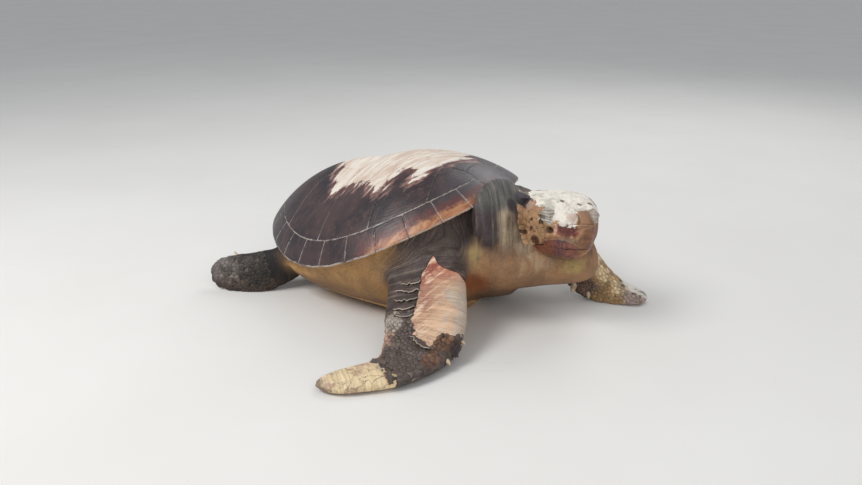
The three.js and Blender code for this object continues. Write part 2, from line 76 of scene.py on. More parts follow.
# ---------------------------------------------------------------- curves
def profile(pairs):
    """Smooth curve through (x, value) pairs, as a function of x."""
    knots = np.array(pairs, float)
    last = len(knots) - 1
    share = np.linspace(0, 1, 161) * last
    i = np.minimum(share.astype(int), last - 1)
    w = (share - i)[:, None]
    before, after = knots[np.maximum(i - 1, 0)], knots[np.minimum(i + 2, last)]
    start, end = knots[i], knots[i + 1]
    leave, arrive = (end - before) / 2, (after - start) / 2
    cubic = (2 * start - 2 * end + leave + arrive) * w**3
    samples = cubic + (3 * end - 3 * start - 2 * leave - arrive) * w**2 + leave * w + start
    return lambda x: np.interp(x, samples[:, 0], samples[:, 1])


def curve(points, t):
    """Points at shares t of the centripetal curve through points."""
    knots = np.asarray(points, float)
    last = len(knots) - 1
    whole = np.vstack([2 * knots[0] - knots[1], knots, 2 * knots[-1] - knots[-2]])
    i = np.minimum((t * last).astype(int), last - 1)
    w = (t * last - i)[:, None]
    a, b, c, d = (whole[i + k] for k in range(4))
    first, mid, third = (np.linalg.norm(q - p, axis=1)[:, None] ** 0.5 for p, q in ((a, b), (b, c), (c, d)))
    mid = np.where(mid < 1e-4, 1.0, mid)
    first = np.where(first < 1e-4, mid, first)
    third = np.where(third < 1e-4, mid, third)
    leave = ((b - a) / first - (c - a) / (first + mid) + (c - b) / mid) * mid
    arrive = ((c - b) / mid - (d - b) / (mid + third) + (d - c) / third) * mid
    square = -3 * b + 3 * c - 2 * leave - arrive
    return b + leave * w + square * w**2 + (2 * b - 2 * c + leave + arrive) * w**3


def unit(rows):
    """Rows made one long."""
    return rows / np.maximum(np.linalg.norm(rows, axis=1)[:, None], 1e-9)


def rounding(t, start_cap, end_cap):
    """0 at both ends and 1 between the rounded caps, whose lengths are shares of the whole."""
    start = np.minimum(1, t / start_cap)
    end = np.minimum(1, (1 - t) / end_cap)
    return np.sqrt(1 - (1 - start) ** 2) * np.sqrt(1 - (1 - end) ** 2)


def power(value, exponent):
    """Power of a value's size, with the value's sign."""
    return np.sign(value) * np.abs(value) ** exponent


def smooth(value, low, high):
    """0 below low, 1 above high, and an even rise between."""
    x = np.clip((value - low) / (high - low), 0, 1)
    return x * x * (3 - 2 * x)


def bell(value, level, width):
    """1 at a level, and falling to 0 on both sides of it."""
    return np.exp(-(((value - level) / width) ** 2))


# ---------------------------------------------------------------- the animal's forms
COAT = 1.6  # how far the skin lies inside the solids, under its scales
SHELL_LENGTH = 800
RIM_HALF_WIDTH = 320 * 0.985
RIM_LEVEL = 140
DOME_HEIGHT = 172
CENTRE_X = 24
TRUNK_BACK = 0.5 * DOME_HEIGHT
TRUNK_REAR = -369.6
TRUNK_FRONT = 372
TRUNK_LOW_SQUARENESS = 0.74
HEAD_LENGTH = 240
HEAD_WIDTH = 222.4
SKULL_TOP = 80
SKULL_BASE = 85.6
HEAD_DROOP = 8.9
SKULL_SQUARENESS = (0.64, 0.8)  # over and under its middle line
NAPE_AT = (390, -62, 112)
NAPE_REACH = np.array([64, 116, 102])
LEAD = 0.3  # how much thicker a limb is at its leading edge

# Stations: x, y, z of the spine, x, y, z of the blade's breadth, half breadth, half thickness.
NECK = [
    (200, 0, 166, 0, 1, 0, 188, 158),
    (300, 0, 172, 0, 1, 0, 188, 158),
    (400, 0, 190, 0, 1, 0, 164, 146),
    (480, 16, 180, 0.1, 1, 0, 122, 108),
    (545, 26, 172, 0.2, 1, 0, 94, 80),
    (592, 24, 176, 0.3, 1, 0, 74, 62),
    (628, 22, 184, 0.3, 1, 0, 60, 46),
]
FRONT_RIGHT = [
    (215, -110, 210, 0.87, 0.4, 0.2, 100, 58),
    (236, -192, 208, 0.87, 0.46, 0.1, 108, 54),
    (284, -258, 132, 0.87, 0.5, 0, 102, 46),
    (319, -325, 74, 0.87, 0.48, 0, 103, 38),
    (335, -386, 39, 0.92, 0.25, -0.1, 93, 29),
    (328, -475, 22, 0.85, -0.45, 0, 69, 22),
    (268, -556, 17, 0.75, -0.65, 0, 54, 19),
    (204, -620, 15, 0.72, -0.69, 0, 44, 17),
]
FRONT_LEFT = [
    (225, 110, 215, 0.8, -0.4, 0.4, 80, 56),
    (310, 180, 200, 0.6, -0.3, 0.7, 84, 48),
    (425, 214, 158, 0.45, 0.2, 0.85, 72, 40),
    (505, 212, 104, 0.38, 0.45, 0.78, 64, 32),
    (562, 198, 58, 0.35, 0.6, 0.7, 64, 24),
    (626, 208, 27, 0.1, 0.8, 0.45, 54, 18),
    (680, 224, 15, -0.1, 0.9, 0.2, 49, 16),
    (726, 240, 12, -0.2, 0.95, 0.05, 40, 14),
]
REAR_RIGHT = [
    (-190, -120, 96, 0.1, -0.3, 0.95, 50, 42),
    (-238, -200, 72, 0.1, 0.1, 0.95, 58, 38),
    (-300, -252, 52, 0.05, 0.35, 0.93, 62, 28),
    (-350, -278, 49, 0, 0.35, 0.93, 59, 18),
    (-395, -296, 47, 0, 0.35, 0.93, 50, 13),
    (-436, -308, 44, 0, 0.35, 0.93, 34, 9),
]
REAR_LEFT = [
    (-190, 120, 100, 0.5, 0.4, 0.5, 50, 42),
    (-245, 185, 72, 0.5, 0.6, 0.3, 56, 36),
    (-315, 228, 40, 0.5, 0.8, 0.1, 60, 24),
    (-372, 262, 15, 0.55, 0.8, 0, 58, 17),
    (-420, 290, 11, 0.6, 0.78, 0, 46, 14),
    (-458, 312, 9, 0.6, 0.78, 0, 28, 11),
]
TAIL = [
    (-230, 0, 80, 0, 1, 0, 56, 44),
    (-310, 0, 62, 0, 1, 0, 44, 34),
    (-375, 0, 42, 0, 1, 0, 28, 22),
    (-425, 0, 26, 0, 1, 0, 14, 12),
]

# Shares of a length, and the measure there.
belly_depth = profile(
    [(-0.5, 70), (-0.37, 114), (-0.25, 154), (0, 228), (0.22, 286), (0.34, 272), (0.5, 150)],
)
trunk_half_width = profile(
    [(-0.5, 150), (-0.37, 232), (-0.2, 277), (0, 296), (0.2, 288), (0.35, 240), (0.5, 160)],
)
head_half_width = profile(
    [(0, 0.42), (0.15, 0.49), (0.35, 0.5), (0.55, 0.44), (0.75, 0.33), (0.9, 0.22), (1, 0.14)],
)
head_top = profile([(0, 0.82), (0.2, 0.98), (0.4, 1), (0.6, 0.9), (0.78, 0.66), (0.92, 0.4), (1, 0.22)])
head_base = profile([(0, 0.9), (0.25, 1), (0.5, 0.97), (0.72, 0.86), (0.88, 0.72), (1, 0.58)])


def limb(stations, caps):
    """A limb's surface as a function of the share along it and the turn round it, in model metres."""
    table = np.array(stations, float)
    spine, breadth = table[:, :3], unit(table[:, 3:6])
    size = np.column_stack([table[:, 6:], np.zeros(len(table))])
    step = 1e-4

    def place(t, turn, inside=0.0):
        tangent = unit(curve(spine, np.minimum(t + step, 1)) - curve(spine, np.maximum(t - step, 0)))
        chord = curve(breadth, t)
        chord = unit(chord - tangent * np.sum(chord * tangent, axis=1)[:, None])
        normal = np.cross(tangent, chord)
        width, thick = (curve(size, t)[:, :2] - inside).T
        round_end = rounding(t, *caps)
        over = np.cos(turn) * width * round_end
        up = np.sin(turn) * thick * (1 + LEAD * np.cos(turn)) * round_end
        return placed(curve(spine, t) + chord * over[:, None] + normal * up[:, None], WORLD)

    return place


def trunk(t, turn, inside=0.0):
    """The swollen trunk's surface."""
    x = TRUNK_REAR + t * (TRUNK_FRONT - TRUNK_REAR)
    round_end = rounding(t, 0.3, 0.26)
    up = np.sin(turn)
    height = np.where(up > 0, TRUNK_BACK, belly_depth(x / SHELL_LENGTH) - inside)
    squareness = np.where(up > 0, 1.0, TRUNK_LOW_SQUARENESS)
    half = trunk_half_width(x / SHELL_LENGTH) - inside
    y = power(np.cos(turn), squareness) * half * round_end
    z = RIM_LEVEL + power(up, squareness) * height * round_end
    return placed(np.column_stack([x, y, z]), BODY)


def skull_section(t):
    """Half width, top and base of the skull, and the level of its middle line, at shares t of its length."""
    round_end = rounding(t, 0.22, 0.09)
    half = head_half_width(t) * HEAD_WIDTH * round_end
    top = head_top(t) * SKULL_TOP * round_end
    base = head_base(t) * SKULL_BASE * round_end
    return half, top, base, -HEAD_DROOP * t


def skull(t, turn, inside=0.0):
    """The head's surface."""
    half, top, base, middle = skull_section(t)
    up = np.sin(turn)
    squareness = np.where(up > 0, *SKULL_SQUARENESS)
    y = power(np.cos(turn), squareness) * (half - inside)
    z = middle + power(up, squareness) * (np.where(up > 0, top, base) - inside)
    return placed(np.column_stack([HEAD_LENGTH * t, y, z]), HEAD)


def nape_fold(t, turn, inside=0.0):
    """The swollen fold of the neck's skin that lies over the shell's front edge."""
    upward = 2 * t - 1
    level = np.sqrt(1 - upward**2)
    ball = np.column_stack([level * np.cos(turn), level * np.sin(turn), upward])
    return placed(ball * (NAPE_REACH - inside) + NAPE_AT, BODY)


# Surface, and how many faces it has round it and along it.
FORMS = {
    "trunk": (trunk, 112, 64),
    "neck": (limb(NECK, (0.2, 0.16)), 96, 56),
    "head": (skull, 96, 80),
    "front_flipper_right": (limb(FRONT_RIGHT, (0.1, 0.12)), 64, 80),
    "front_flipper_left": (limb(FRONT_LEFT, (0.1, 0.12)), 64, 80),
    "rear_flipper_right": (limb(REAR_RIGHT, (0.1, 0.2)), 56, 56),
    "rear_flipper_left": (limb(REAR_LEFT, (0.1, 0.2)), 56, 56),
    "tail": (limb(TAIL, (0.2, 0.3)), 40, 36),
    "nape": (nape_fold, 64, 40),
}
PARTS = list(FORMS)


# ---------------------------------------------------------------- mesh work
def read(items, field, width, kind=float):
    """A field of all the items of a mesh, as rows."""
    flat = np.empty(len(items) * width, kind)
    items.foreach_get(field, flat)
    return flat.reshape(-1, width)


def coords(mesh):
    return read(mesh.vertices, "co", 3)


def normals(mesh):
    return read(mesh.vertices, "normal", 3)


def edge_ends(mesh):
    return read(mesh.edges, "vertices", 2, int)


def move(mesh, points):
    mesh.vertices.foreach_set("co", np.asarray(points, float).ravel())
    mesh.update()


def surface_of(mesh):
    """Search tree over a mesh's faces."""
    return BVHTree.FromPolygons(coords(mesh).tolist(), [p.vertices[:] for p in mesh.polygons])


def tree_of(points):
    """Search tree over points."""
    tree = kdtree.KDTree(len(points))
    for i, point in enumerate(points):
        tree.insert(point, i)
    tree.balance()
    return tree


def relaxed(values, ends, steps, amount=0.5):
    """Values at the vertices, each moved towards its neighbours' mean, some steps over."""
    values = np.asarray(values, float).reshape(len(values), -1)
    amount = np.broadcast_to(np.asarray(amount, float), (len(values),))[:, None]
    both = np.concatenate([ends[:, 0], ends[:, 1]])
    others = np.concatenate([ends[:, 1], ends[:, 0]])
    count = np.maximum(np.bincount(both, minlength=len(values)), 1)[:, None]
    for _ in range(steps):
        columns = [np.bincount(both, values[others, k], len(values)) for k in range(values.shape[1])]
        values = values + amount * (np.column_stack(columns) / count - values)
    return values


def smoothed(points, ends, rounds):
    """Points evened out with no loss of bulk."""
    for _ in range(rounds):
        points = relaxed(relaxed(points, ends, 1, 0.5), ends, 1, -0.52)
    return points


def joints(part, ends, reach):
    """1 where two parts of the body meet, falling to 0 over about that many faces."""
    differs = (part[ends[:, 0]] != part[ends[:, 1]]).astype(float)
    joint = np.zeros(len(part))
    np.maximum.at(joint, ends[:, 0], differs)
    np.maximum.at(joint, ends[:, 1], differs)
    return np.clip(relaxed(joint, ends, reach, 0.6)[:, 0] * 9, 0, 1)


def new_object(name, data):
    made = bpy.data.objects.new(name, data)
    bpy.context.scene.collection.objects.link(made)
    return made


def opened(mesh):
    bm = bmesh.new()
    bm.from_mesh(mesh)
    return bm


def closed(bm, mesh):
    bm.to_mesh(mesh)
    bm.free()
    return mesh


def new_piece(name, bm):
    return new_object(name, closed(bm, bpy.data.meshes.new(name)))


def remesh(piece, size):
    """Rebuilds the piece as one even closed mesh with faces of about that size in metres."""
    modifier = piece.modifiers.new("even", "REMESH")
    modifier.mode = "VOXEL"
    modifier.voxel_size = size
    modifier.use_smooth_shade = True
    depsgraph = bpy.context.evaluated_depsgraph_get()
    made = bpy.data.meshes.new_from_object(piece.evaluated_get(depsgraph))
    piece.modifiers.clear()
    old, piece.data = piece.data, made
    bpy.data.meshes.remove(old)
    return made


def loft(bm, around, along, place, inside):
    """Adds a closed surface of rings from pole to pole."""
    verts = bmesh.ops.create_uvsphere(bm, u_segments=around, v_segments=along, radius=1)["verts"]
    ball = np.array([v.co for v in verts])
    t = np.clip(0.5 + 0.5 * ball[:, 2], 0, 1)
    points = place(t, np.arctan2(ball[:, 1], ball[:, 0]), inside)
    for vert, point in zip(verts, points):
        vert.co = point


def subdivide(mesh, wanted):
    """Splits in four every face whose corners are all wanted."""
    bm = opened(mesh)
    edges = [e for e in bm.edges if wanted[e.verts[0].index] and wanted[e.verts[1].index]]
    bmesh.ops.subdivide_edges(bm, edges=edges, cuts=1, use_grid_fill=True)
    closed(bm, mesh)


def mark(mesh, **fields):
    """Stores a number, or a colour of three, at each vertex, for every field."""
    for name, values in fields.items():
        values = np.asarray(values, float)
        if values.ndim == 1:
            mesh.attributes.new(name, "FLOAT", "POINT").data.foreach_set("value", values)
        else:
            opaque = np.column_stack([values, np.ones(len(values))])
            mesh.attributes.new(name, "FLOAT_COLOR", "POINT").data.foreach_set("color", opaque.ravel())


def rough(points, size, seed, octaves=3):
    """Even noise from -1 to 1 at model points, with lumps of about that size in metres."""
    offset = Vector((seed * 7.3, seed * 3.1, seed * 5.7))
    scaled = np.asarray(points) / size
    return np.array([noise.fractal(Vector(p) + offset, 0.6, 2.0, octaves) for p in scaled])


def mottles(points):
    """The coarse and the fine unevenness of the hide's colours at model points."""
    return rough(points, 0.09, 1), rough(points, 0.028, 2)


# ---------------------------------------------------------------- where a point is on the animal
class Atlas:
    """Finds the part that a skin point belongs to, and the share along it and the turn round it."""

    def __init__(self):
        points, marks = [], []
        for index, (place, around, along) in enumerate(FORMS.values()):
            shares, turns = np.linspace(0.002, 0.998, along), np.linspace(0, 2 * np.pi, around, False)
            t, turn = (grid.ravel() for grid in np.meshgrid(shares, turns))
            points.append(place(t, turn, COAT))
            marks.append(np.column_stack([np.full(len(t), index), t, turn]))
        self.marks = np.concatenate(marks)
        self.tree = tree_of(np.concatenate(points))

    def __call__(self, points):
        found = np.array([self.tree.find(p)[1] for p in points])
        part, t, turn = self.marks[found].T
        return part.astype(int), t, turn


atlas = Atlas()


def belongs(part, *names):
    """Whether part numbers are those of the named parts."""
    return np.isin(part, [PARTS.index(name) for name in names])


# ---------------------------------------------------------------- markings
def linear(code):
    """A colour written as six hex digits, as linear red, green and blue."""
    srgb = np.array([int(code[i : i + 2], 16) for i in (0, 2, 4)]) / 255
    return np.where(srgb <= 0.04045, srgb / 12.92, ((srgb + 0.055) / 1.055) ** 2.4)


def blob(points, centre, reach):
    """1 at the centre, 0 at the reach and below 0 outside it."""
    return 1 - np.linalg.norm((points - np.asarray(centre)) / np.asarray(reach, float), axis=1)


def blobs(points, *places):
    return np.max([blob(points, centre, reach) for centre, reach in places], axis=0)


def patch(points, centre, reach, ragged=0.0, low=0.0, high=0.4):
    """1 in a blob and 0 outside it, with an edge that the ragged values move."""
    return smooth(blob(points, centre, reach) + ragged, low, high)


def outline_distance(plan, outline):
    """Distance of plan points inside a closed outline, below 0 outside it."""
    outline = np.array(outline, float)
    best = np.full(len(plan), 1e9)
    inside = np.zeros(len(plan), bool)
    for a, b in zip(outline, np.roll(outline, -1, axis=0)):
        along = b - a
        share = np.clip(((plan - a) @ along) / (along @ along), 0, 1)
        best = np.minimum(best, np.linalg.norm(plan - a - share[:, None] * along, axis=1))
        crosses = (a[1] > plan[:, 1]) != (b[1] > plan[:, 1])
        rise = np.where(abs(along[1]) < 1e-9, 1e-9, along[1])
        inside ^= crosses & (plan[:, 0] < a[0] + (plan[:, 1] - a[1]) / rise * along[0])
    return np.where(inside, best, -best)


def blend(base, colour, share):
    return base + (np.asarray(colour) - base) * np.clip(share, 0, 1)[:, None]


CODES = dict(
    # trunk and neck
    belly="b58b59", belly_mid="9c7549", belly_low="6d5138", rear_shade_and_dark_knob="463329", neck="5c4a40", streak="c9b393",
    throat="9a7350", throat_low="6d4e36", shoulder="975a32", band="4b4041", straw="aa925c",
    # limbs
    arm="4f413c", arm_grey="736660", wrist="5a4f4b", brown="6e4d3a", knob="a89d92", rear="1b1817",
    rear_low="3c2c24", rear_grey="7f7672", far_cream="f0d2a6", far_olive="b08c5c", far_dark="543e36",
    lilac="bba59a", hand="ebd2a8", hand_edge="856f5b", raw_cream="dfb998", raw_grey="cdbba8",
    raw_peach="e2a584",
    # head
    cheek="a57c58", cheek_left_shaded="956e52", spot="35190a", amber="7f5a2c", plate="3a3137", olive="66635e",
    pink="c39a82", lid="c8beb0", lid_crease_shade="5a504a", nose="cbb2a4", crown="ebe3d6", crown_grey="b6b2a2",
    tan_orange_shaded="744524", smear="7a5236", purple="4f3238", red="54211b", red_brown="7a4030", rim="948a7c",
    jaw="7c4834", jaw_left="986842", jaw_low="745540",
)  # fmt: skip
PALETTE = {name: linear(code) for name, code in CODES.items()}


def painted(base, *coats):
    """A colour, by name or in rows, under coats of (name, share)."""
    colour = PALETTE[base] if isinstance(base, str) else base
    for name, share in coats:
        colour = blend(colour, PALETTE[name], share)
    return colour


# Places on the head are in its own frame.
MOUTH_LEVEL = profile([(120, -60), (149, -51), (192, -40), (223, -38.9), (264, -44.5)])
CROWN_EDGE = profile([(60, 62), (95, 56), (125, 49), (150, 47), (172, 44), (190, 33), (215, 22), (240, 18)])
RED_AT = (229, -27, 4)  # the raw hollow of the beak
CHEEK_SPOTS = [  # x, y, z and reach
    (113, -105, -7, 6), (113, -103, -29, 6), (135, -96, -21, 6), (99, -99, -47, 6),
    (122, -88, -55, 7), (160, -82, -35, 12), (173, -76, 15, 8), (146, -91, 13, 5),
    (148, -91, -10, 6), (76, -112, -3, 8), (80, -111, -19, 6), (106, -105, 16, 8),
    (150, 84, -30, 9), (112, 104, -8, 8), (100, 106, -34, 7), (128, 98, 12, 7),
]  # fmt: skip
BACK_PLATES = [(77, -107, 34), (106, -95, 52)]  # the two large dark plates behind the bare crown
PLATE_REACH = [(23, 36, 31), (22, 34, 21)]


def on_right(head):
    """Head points with those of the left half mirrored onto the right one."""
    return np.column_stack([head[:, 0], -np.abs(head[:, 1]), head[:, 2]])


def crown_height(head):
    """Height over the edge of the bare white crown, in millimetres."""
    x, y, z = head.T
    left = 16 * smooth(y, -8, 10) * smooth(x, 150, 200) - 20 * smooth(y, 20, 60) * smooth(-x, -182, -150)
    back = 36 + 90 * smooth(-z, -74, -50)
    lids = 30 * smooth(blob(on_right(head), (172, -66, 32), (25, 30, 21)), 0, 0.3)
    return z - CROWN_EDGE(x) - left - lids - 40 * smooth(back - x, -8, 14)


def plate_field(head):
    """Above 0 on the two dark plates."""
    return blobs(head, *zip(BACK_PLATES, PLATE_REACH))


def cheek_spots(head):
    """Above 0 on the dark spots."""
    spots = np.max([blob(head, at, (reach, 30, reach)) for *at, reach in CHEEK_SPOTS], axis=0)
    return spots + 0.3 * rough(head * MM, 0.011, 31)


def mouth_level(head):
    """Height of the mouth's line, which rises where the beak is torn."""
    torn = 19 * bell(head[:, 1], -38, 36) * smooth(head[:, 0], 160, 205)
    return MOUTH_LEVEL(head[:, 0]) + torn


def lid_level(head):
    """Height along the eye's folds, which curve round it, in millimetres."""
    ahead = head[:, 0] - 172
    return head[:, 2] - 0.35 * ahead + 0.016 * ahead**2


def jaw_colour(head, lumps, fine):
    """Colour of the horn and skin below the mouth's line."""
    x, y, z = head.T
    drips = rough(head * MM * (1, 1, 0.22), 0.005, 23)
    return painted(
        "jaw",
        ("jaw_left", smooth(y + 24 * lumps, -18, 16)),
        ("jaw_low", smooth(-z + 8 * lumps + 5 * fine, 60, 76)),
        ("red", 0.55 * smooth(0.6 * fine + 0.8 * drips, 0.0, 0.6)),
        ("purple", bell(y, -36, 16) * smooth(x, 190, 215) * smooth(drips + 0.3 * fine, -0.3, 0.3)),
    )


def face_colour(head, lumps, fine):
    """Colour of the head's skin and horn, in its own frame."""
    x, y, z = head.T
    flecks = rough(head * MM, 0.009, 17)
    amber = blobs(
        head,
        ((126, -100, 2), (14, 20, 10)),
        ((150, -86, -8), (10, 20, 9)),
        ((205, 46, 18), (18, 18, 14)),
    )
    low_left = smooth(y + 10 * lumps, -8, 20) * smooth(-z + 10 * fine, -22, 6)
    lids = blob(on_right(head), (179, -64, 31), (33, 30, 26)) + 0.15 * fine
    lids = lids / np.where(y > 0, 2.6, 1)
    # dark in the grooves between the lids' folds: painted shade in the creases
    fold_shade = smooth(lids, 0, 0.3) * smooth(-np.cos(0.95 * lid_level(head)), 0.1, 0.9)
    slit = patch(on_right(head), EYE_AT * (1, -1.25, 1) - (0, 0, 1), (19, 30, 5))
    red = blob(head, RED_AT, (32, 33, 24))
    white = smooth(crown_height(head) + 7 * flecks + 4 * fine, -5, -1) * smooth(x, 150, 180)
    rim = bell(z, -18 - 0.12 * np.abs(y + 24), 4.2) * smooth(x, 205, 225) * smooth(-y, -10, 12)
    mouth = mouth_level(head) + 2 * flecks + 3 * fine
    # a dark line along the mouth: painted shade of the gap between beak and jaw
    line = bell(z, mouth, 1.5) * smooth(x, 120, 135) * smooth(-y, -60, -30)
    face = painted(
        "cheek",
        # the head's left half in a darker copy of the cheek's colour: painted shade on the side turned away
        # from the light
        ("cheek_left_shaded", smooth(y + 12 * lumps, -10, 40)),
        ("amber", 0.85 * patch(head, (187, -68, 14), (18, 18, 12), 0.3 * fine)),
        ("amber", 0.6 * smooth(amber + 0.4 * fine, 0, 0.5)),
        ("smear", 0.85 * patch(head, (60, -112, -12), (22, 30, 34), 0.3 * fine)),
        ("olive", smooth(-x + 14 * lumps, -66, -36) * smooth(z, -10, 40)),
        ("plate", smooth(-x + 14 * lumps, -60, -44) * smooth(z, 44, 60)),
        ("olive", patch(head, (78, -80, 70), (32, 26, 15), high=0.3)),
        # orange-tan low on the left of the snout: its own colour, darkened with painted shade on the side
        # away from the light
        ("tan_orange_shaded", 0.85 * low_left * smooth(x, 150, 190)),
        ("plate", smooth(plate_field(head) + 0.08 * fine, 0.02, 0.1)),
        ("pink", patch(head, (124, -90, 47), (13, 16, 17))),
        ("lid", smooth(lids, 0, 0.25)),
        ("lid_crease_shade", 0.7 * fold_shade),
        ("spot", 0.9 * slit),
        ("red_brown", smooth(red + 0.3 * fine + 0.15 * flecks, 0.0, 0.3)),
        ("red", smooth(red + 0.25 * fine + 0.2 * flecks, 0.25, 0.5)),
        ("pink", patch(head, (213, -50, 4), (7, 6, 24), 0.25 * flecks, 0.1, 0.5)),
        ("crown", white),
        ("rim", 0.9 * rim + 0.3 * flecks * rim),
        ("smear", 0.75 * bell(z - mouth, 7, 8) * smooth(x, 150, 180)),
    )
    below = smooth(mouth - z, -1.5, 1.5) * smooth(x, 108, 122)
    return painted(
        blend(face, jaw_colour(head, lumps, fine), below),
        # painted shade along the mouth's line
        ("purple", 0.8 * line),
        # a dark patch in the deep hollow beside the beak: painted shade in the recess
        ("spot", patch(head, (198, -61, -2), (15, 18, 11), 0.25 * fine, 0.05)),
    )


def crown_colour(head, lumps, fine):
    """Colour of the bare crown, with its dark slots and the fleshy end of the snout."""
    slots = blobs(
        head,
        ((209, 8, 31), (7, 6, 18)),
        ((149, -13, 66), (12, 8, 12)),
        ((158, 28, 60), (7, 12, 12)),
        ((141, 66, 57), (8, 14, 10)),
    )
    return painted(
        "crown",
        ("crown_grey", 0.7 * smooth(fine + 0.5 * lumps, 0.1, 0.6)),
        ("nose", patch(head, (206, 2, 32), (24, 30, 18), high=0.5)),
        ("spot", 0.85 * smooth(slots + 0.3 * fine, 0.1, 0.5)),
    )


# The peeled side of the right arm, on its chart, in millimetres.
PEELED = [
    (94, -24), (80, 0), (67, 24), (60, 58), (58, 90), (46, 120), (41, 142), (57, 189), (90, 217), (103, 196),
    (115, 180), (145, 180), (166, 179), (200, 168), (205, 60), (175, 25), (157, 12), (125, 5), (108, -3),
]  # fmt: skip
SLEEVE_END = np.array([0.192, -0.362, 0.0])  # where the right flipper's dark skin ends over the bare hand
SLEEVE_WAY = np.array([-0.469, -0.883, 0.0])
TIP_WAY = np.array([0.8, 0.6, 0.0])  # along the neck, towards the head
KNOB_AT = (0.124, -0.233, 0.084)
DARK_KNOB_AT = (0.289, -0.208, 0.052)


def arm_chart(points):
    """Places on the right arm's outer face, in millimetres: towards its leading edge, and down it."""
    return np.column_stack([points @ (0.87, 0.48, 0.0), points @ (0.35, -0.66, -0.66)]) / MM


def streaks(points, along, lumps):
    """Noise from -1 to 1 that is fine across the neck's upright folds, and long down them."""
    flat = np.column_stack([along / 0.011, points[:, 2] / 0.07, 0.3 * lumps])
    return np.array([noise.fractal(Vector(p), 0.7, 2.0, 3) for p in flat])


def trunk_colour(points, arm, lumps):
    """Colour of the belly and flanks, with painted shade at the rear end and the arm's colour over the
    shoulder.
    """
    along, _, up = local(points, BODY).T
    flank = painted(
        "belly",
        ("belly_mid", smooth(-up + 14 * lumps, -90, -10)),
        ("belly_low", smooth(-points[:, 2] + 0.025 * lumps, -0.11, -0.03)),
        # darker towards the rear end: painted shade where the shell's rear and the rear flippers meet the
        # trunk
        ("rear_shade_and_dark_knob", smooth(-along + 25 * lumps, 205, 275)),
    )
    shoulder = smooth(along + 9 * lumps, 168, 200) * smooth(up + 10 * lumps, 0, 45)
    return blend(flank, arm, shoulder)


def neck_colour(points, along, lumps, fine):
    """Colour of the neck and its fold, with streaks down it."""
    z = points[:, 2]
    streaky = streaks(points, along, lumps)
    pale = bell(along, 0.31, 0.05) * smooth(z, 0.12, 0.2) * smooth(-z, -0.34, -0.3)
    straw = blobs(
        points,
        ((0.235, -0.02, 0.215), (0.028, 0.06, 0.06)),
        ((0.46, 0.1, 0.18), (0.05, 0.05, 0.03)),
    )
    dark = smooth(-along + 0.02 * streaky, -0.275, -0.235) * smooth(z + 0.05 * streaky, 0.2, 0.25)
    by_head = bell(along, 0.252, 0.018) * smooth(z, 0.21, 0.26) * smooth(-z, -0.35, -0.325)
    return painted(
        "throat_low",
        ("throat", smooth(z + 0.02 * lumps, 0.06, 0.13)),
        ("neck", smooth(z + 0.05 * streaky, 0.18, 0.27)),
        ("streak", 0.7 * pale * smooth(streaky, -0.3, 0.5)),
        ("shoulder", patch(points, (0.215, -0.005, 0.11), (0.07, 0.07, 0.075), 0.2 * lumps, high=0.5)),
        ("straw", 0.8 * smooth(straw + 0.2 * fine + 0.4 * streaky, 0, 0.7)),
        ("band", dark),
        ("streak", by_head * smooth(streaky, -0.7, 0.1)),
        ("olive", smooth(z + 0.012 * lumps, 0.315, 0.345)),
        ("plate", patch(points, (0.308, 0.05, 0.336), (0.015, 0.02, 0.03), 0.1 * fine, high=0.25)),
    )


def near_colour(points, t, turn, arm, lumps, fine):
    """Colour of the right front flipper's skin."""
    low = -points[:, 2]
    brown = blobs(
        points,
        ((0.268, -0.225, 0.055), (0.034, 0.034, 0.03)),
        ((0.262, -0.285, 0.045), (0.022, 0.04, 0.02)),
        ((0.10, -0.32, 0.05), (0.05, 0.05, 0.03)),
    )
    strip = smooth(-np.cos(turn) + 0.15 * fine, 0.72, 0.9) * smooth(t, 0.48, 0.54)
    return painted(
        arm,
        ("wrist", 0.7 * smooth(low + 0.01 * lumps, -0.085, -0.065)),
        ("brown", smooth(brown + 0.3 * fine, 0, 0.3)),
        ("pink", 0.8 * strip * smooth(low, -0.085, -0.06)),
        ("knob", patch(points, KNOB_AT, (0.034, 0.034, 0.026), 0.3 * fine)),
        # the same dark colour is the dark knob's own colour here
        ("rear_shade_and_dark_knob", patch(points, DARK_KNOB_AT, (0.02, 0.02, 0.016))),
    )


def far_colour(points, t, turn, arm, lumps, fine):
    """Colour of the left front flipper's skin."""
    creamy = blobs(
        points,
        ((0.43, 0.34, 0.115), (0.08, 0.08, 0.07)),
        ((0.475, 0.35, 0.07), (0.05, 0.05, 0.035)),
        ((0.515, 0.36, 0.04), (0.045, 0.05, 0.03)),
    )
    return painted(
        arm,
        ("far_olive", smooth(np.sin(turn - 0.4) + 0.4 * lumps, -0.7, 0.0) * smooth(t, 0.3, 0.4)),
        ("far_cream", smooth(creamy + 0.5 * fine, 0.1, 0.5)),
        ("far_dark", patch(points, (0.40, 0.31, 0.03), (0.075, 0.06, 0.055), 0.3 * fine, high=0.3)),
        ("lilac", smooth(t + 0.04 * fine, 0.77, 0.83)),
    )


def rear_colour(t, turn, fine):
    """Colour of the rear flippers and the tail."""
    return painted(
        "rear",
        ("rear_grey", 0.8 * smooth(t + 0.35 * fine, 0.45, 0.95)),
        ("rear_low", 0.8 * smooth(-np.cos(turn) + 0.4 * fine, 0.3, 0.7)),
    )


def hand_flesh(points, lumps, fine):
    """Colour of the right flipper's bare hand."""
    x, _, z = points.T
    tip = patch(points, (0.07, -0.478, 0.014), (0.06, 0.05, 0.03), 0.25 * fine, 0.1, 0.5)
    return painted(
        "hand",
        ("hand_edge", smooth(-z + 0.01 * fine - 0.1 * (x - 0.06), -0.018, -0.005)),
        ("hand_edge", 0.9 * tip),
        ("pink", 0.6 * smooth(fine + 0.6 * lumps, 0.2, 0.6)),
    )


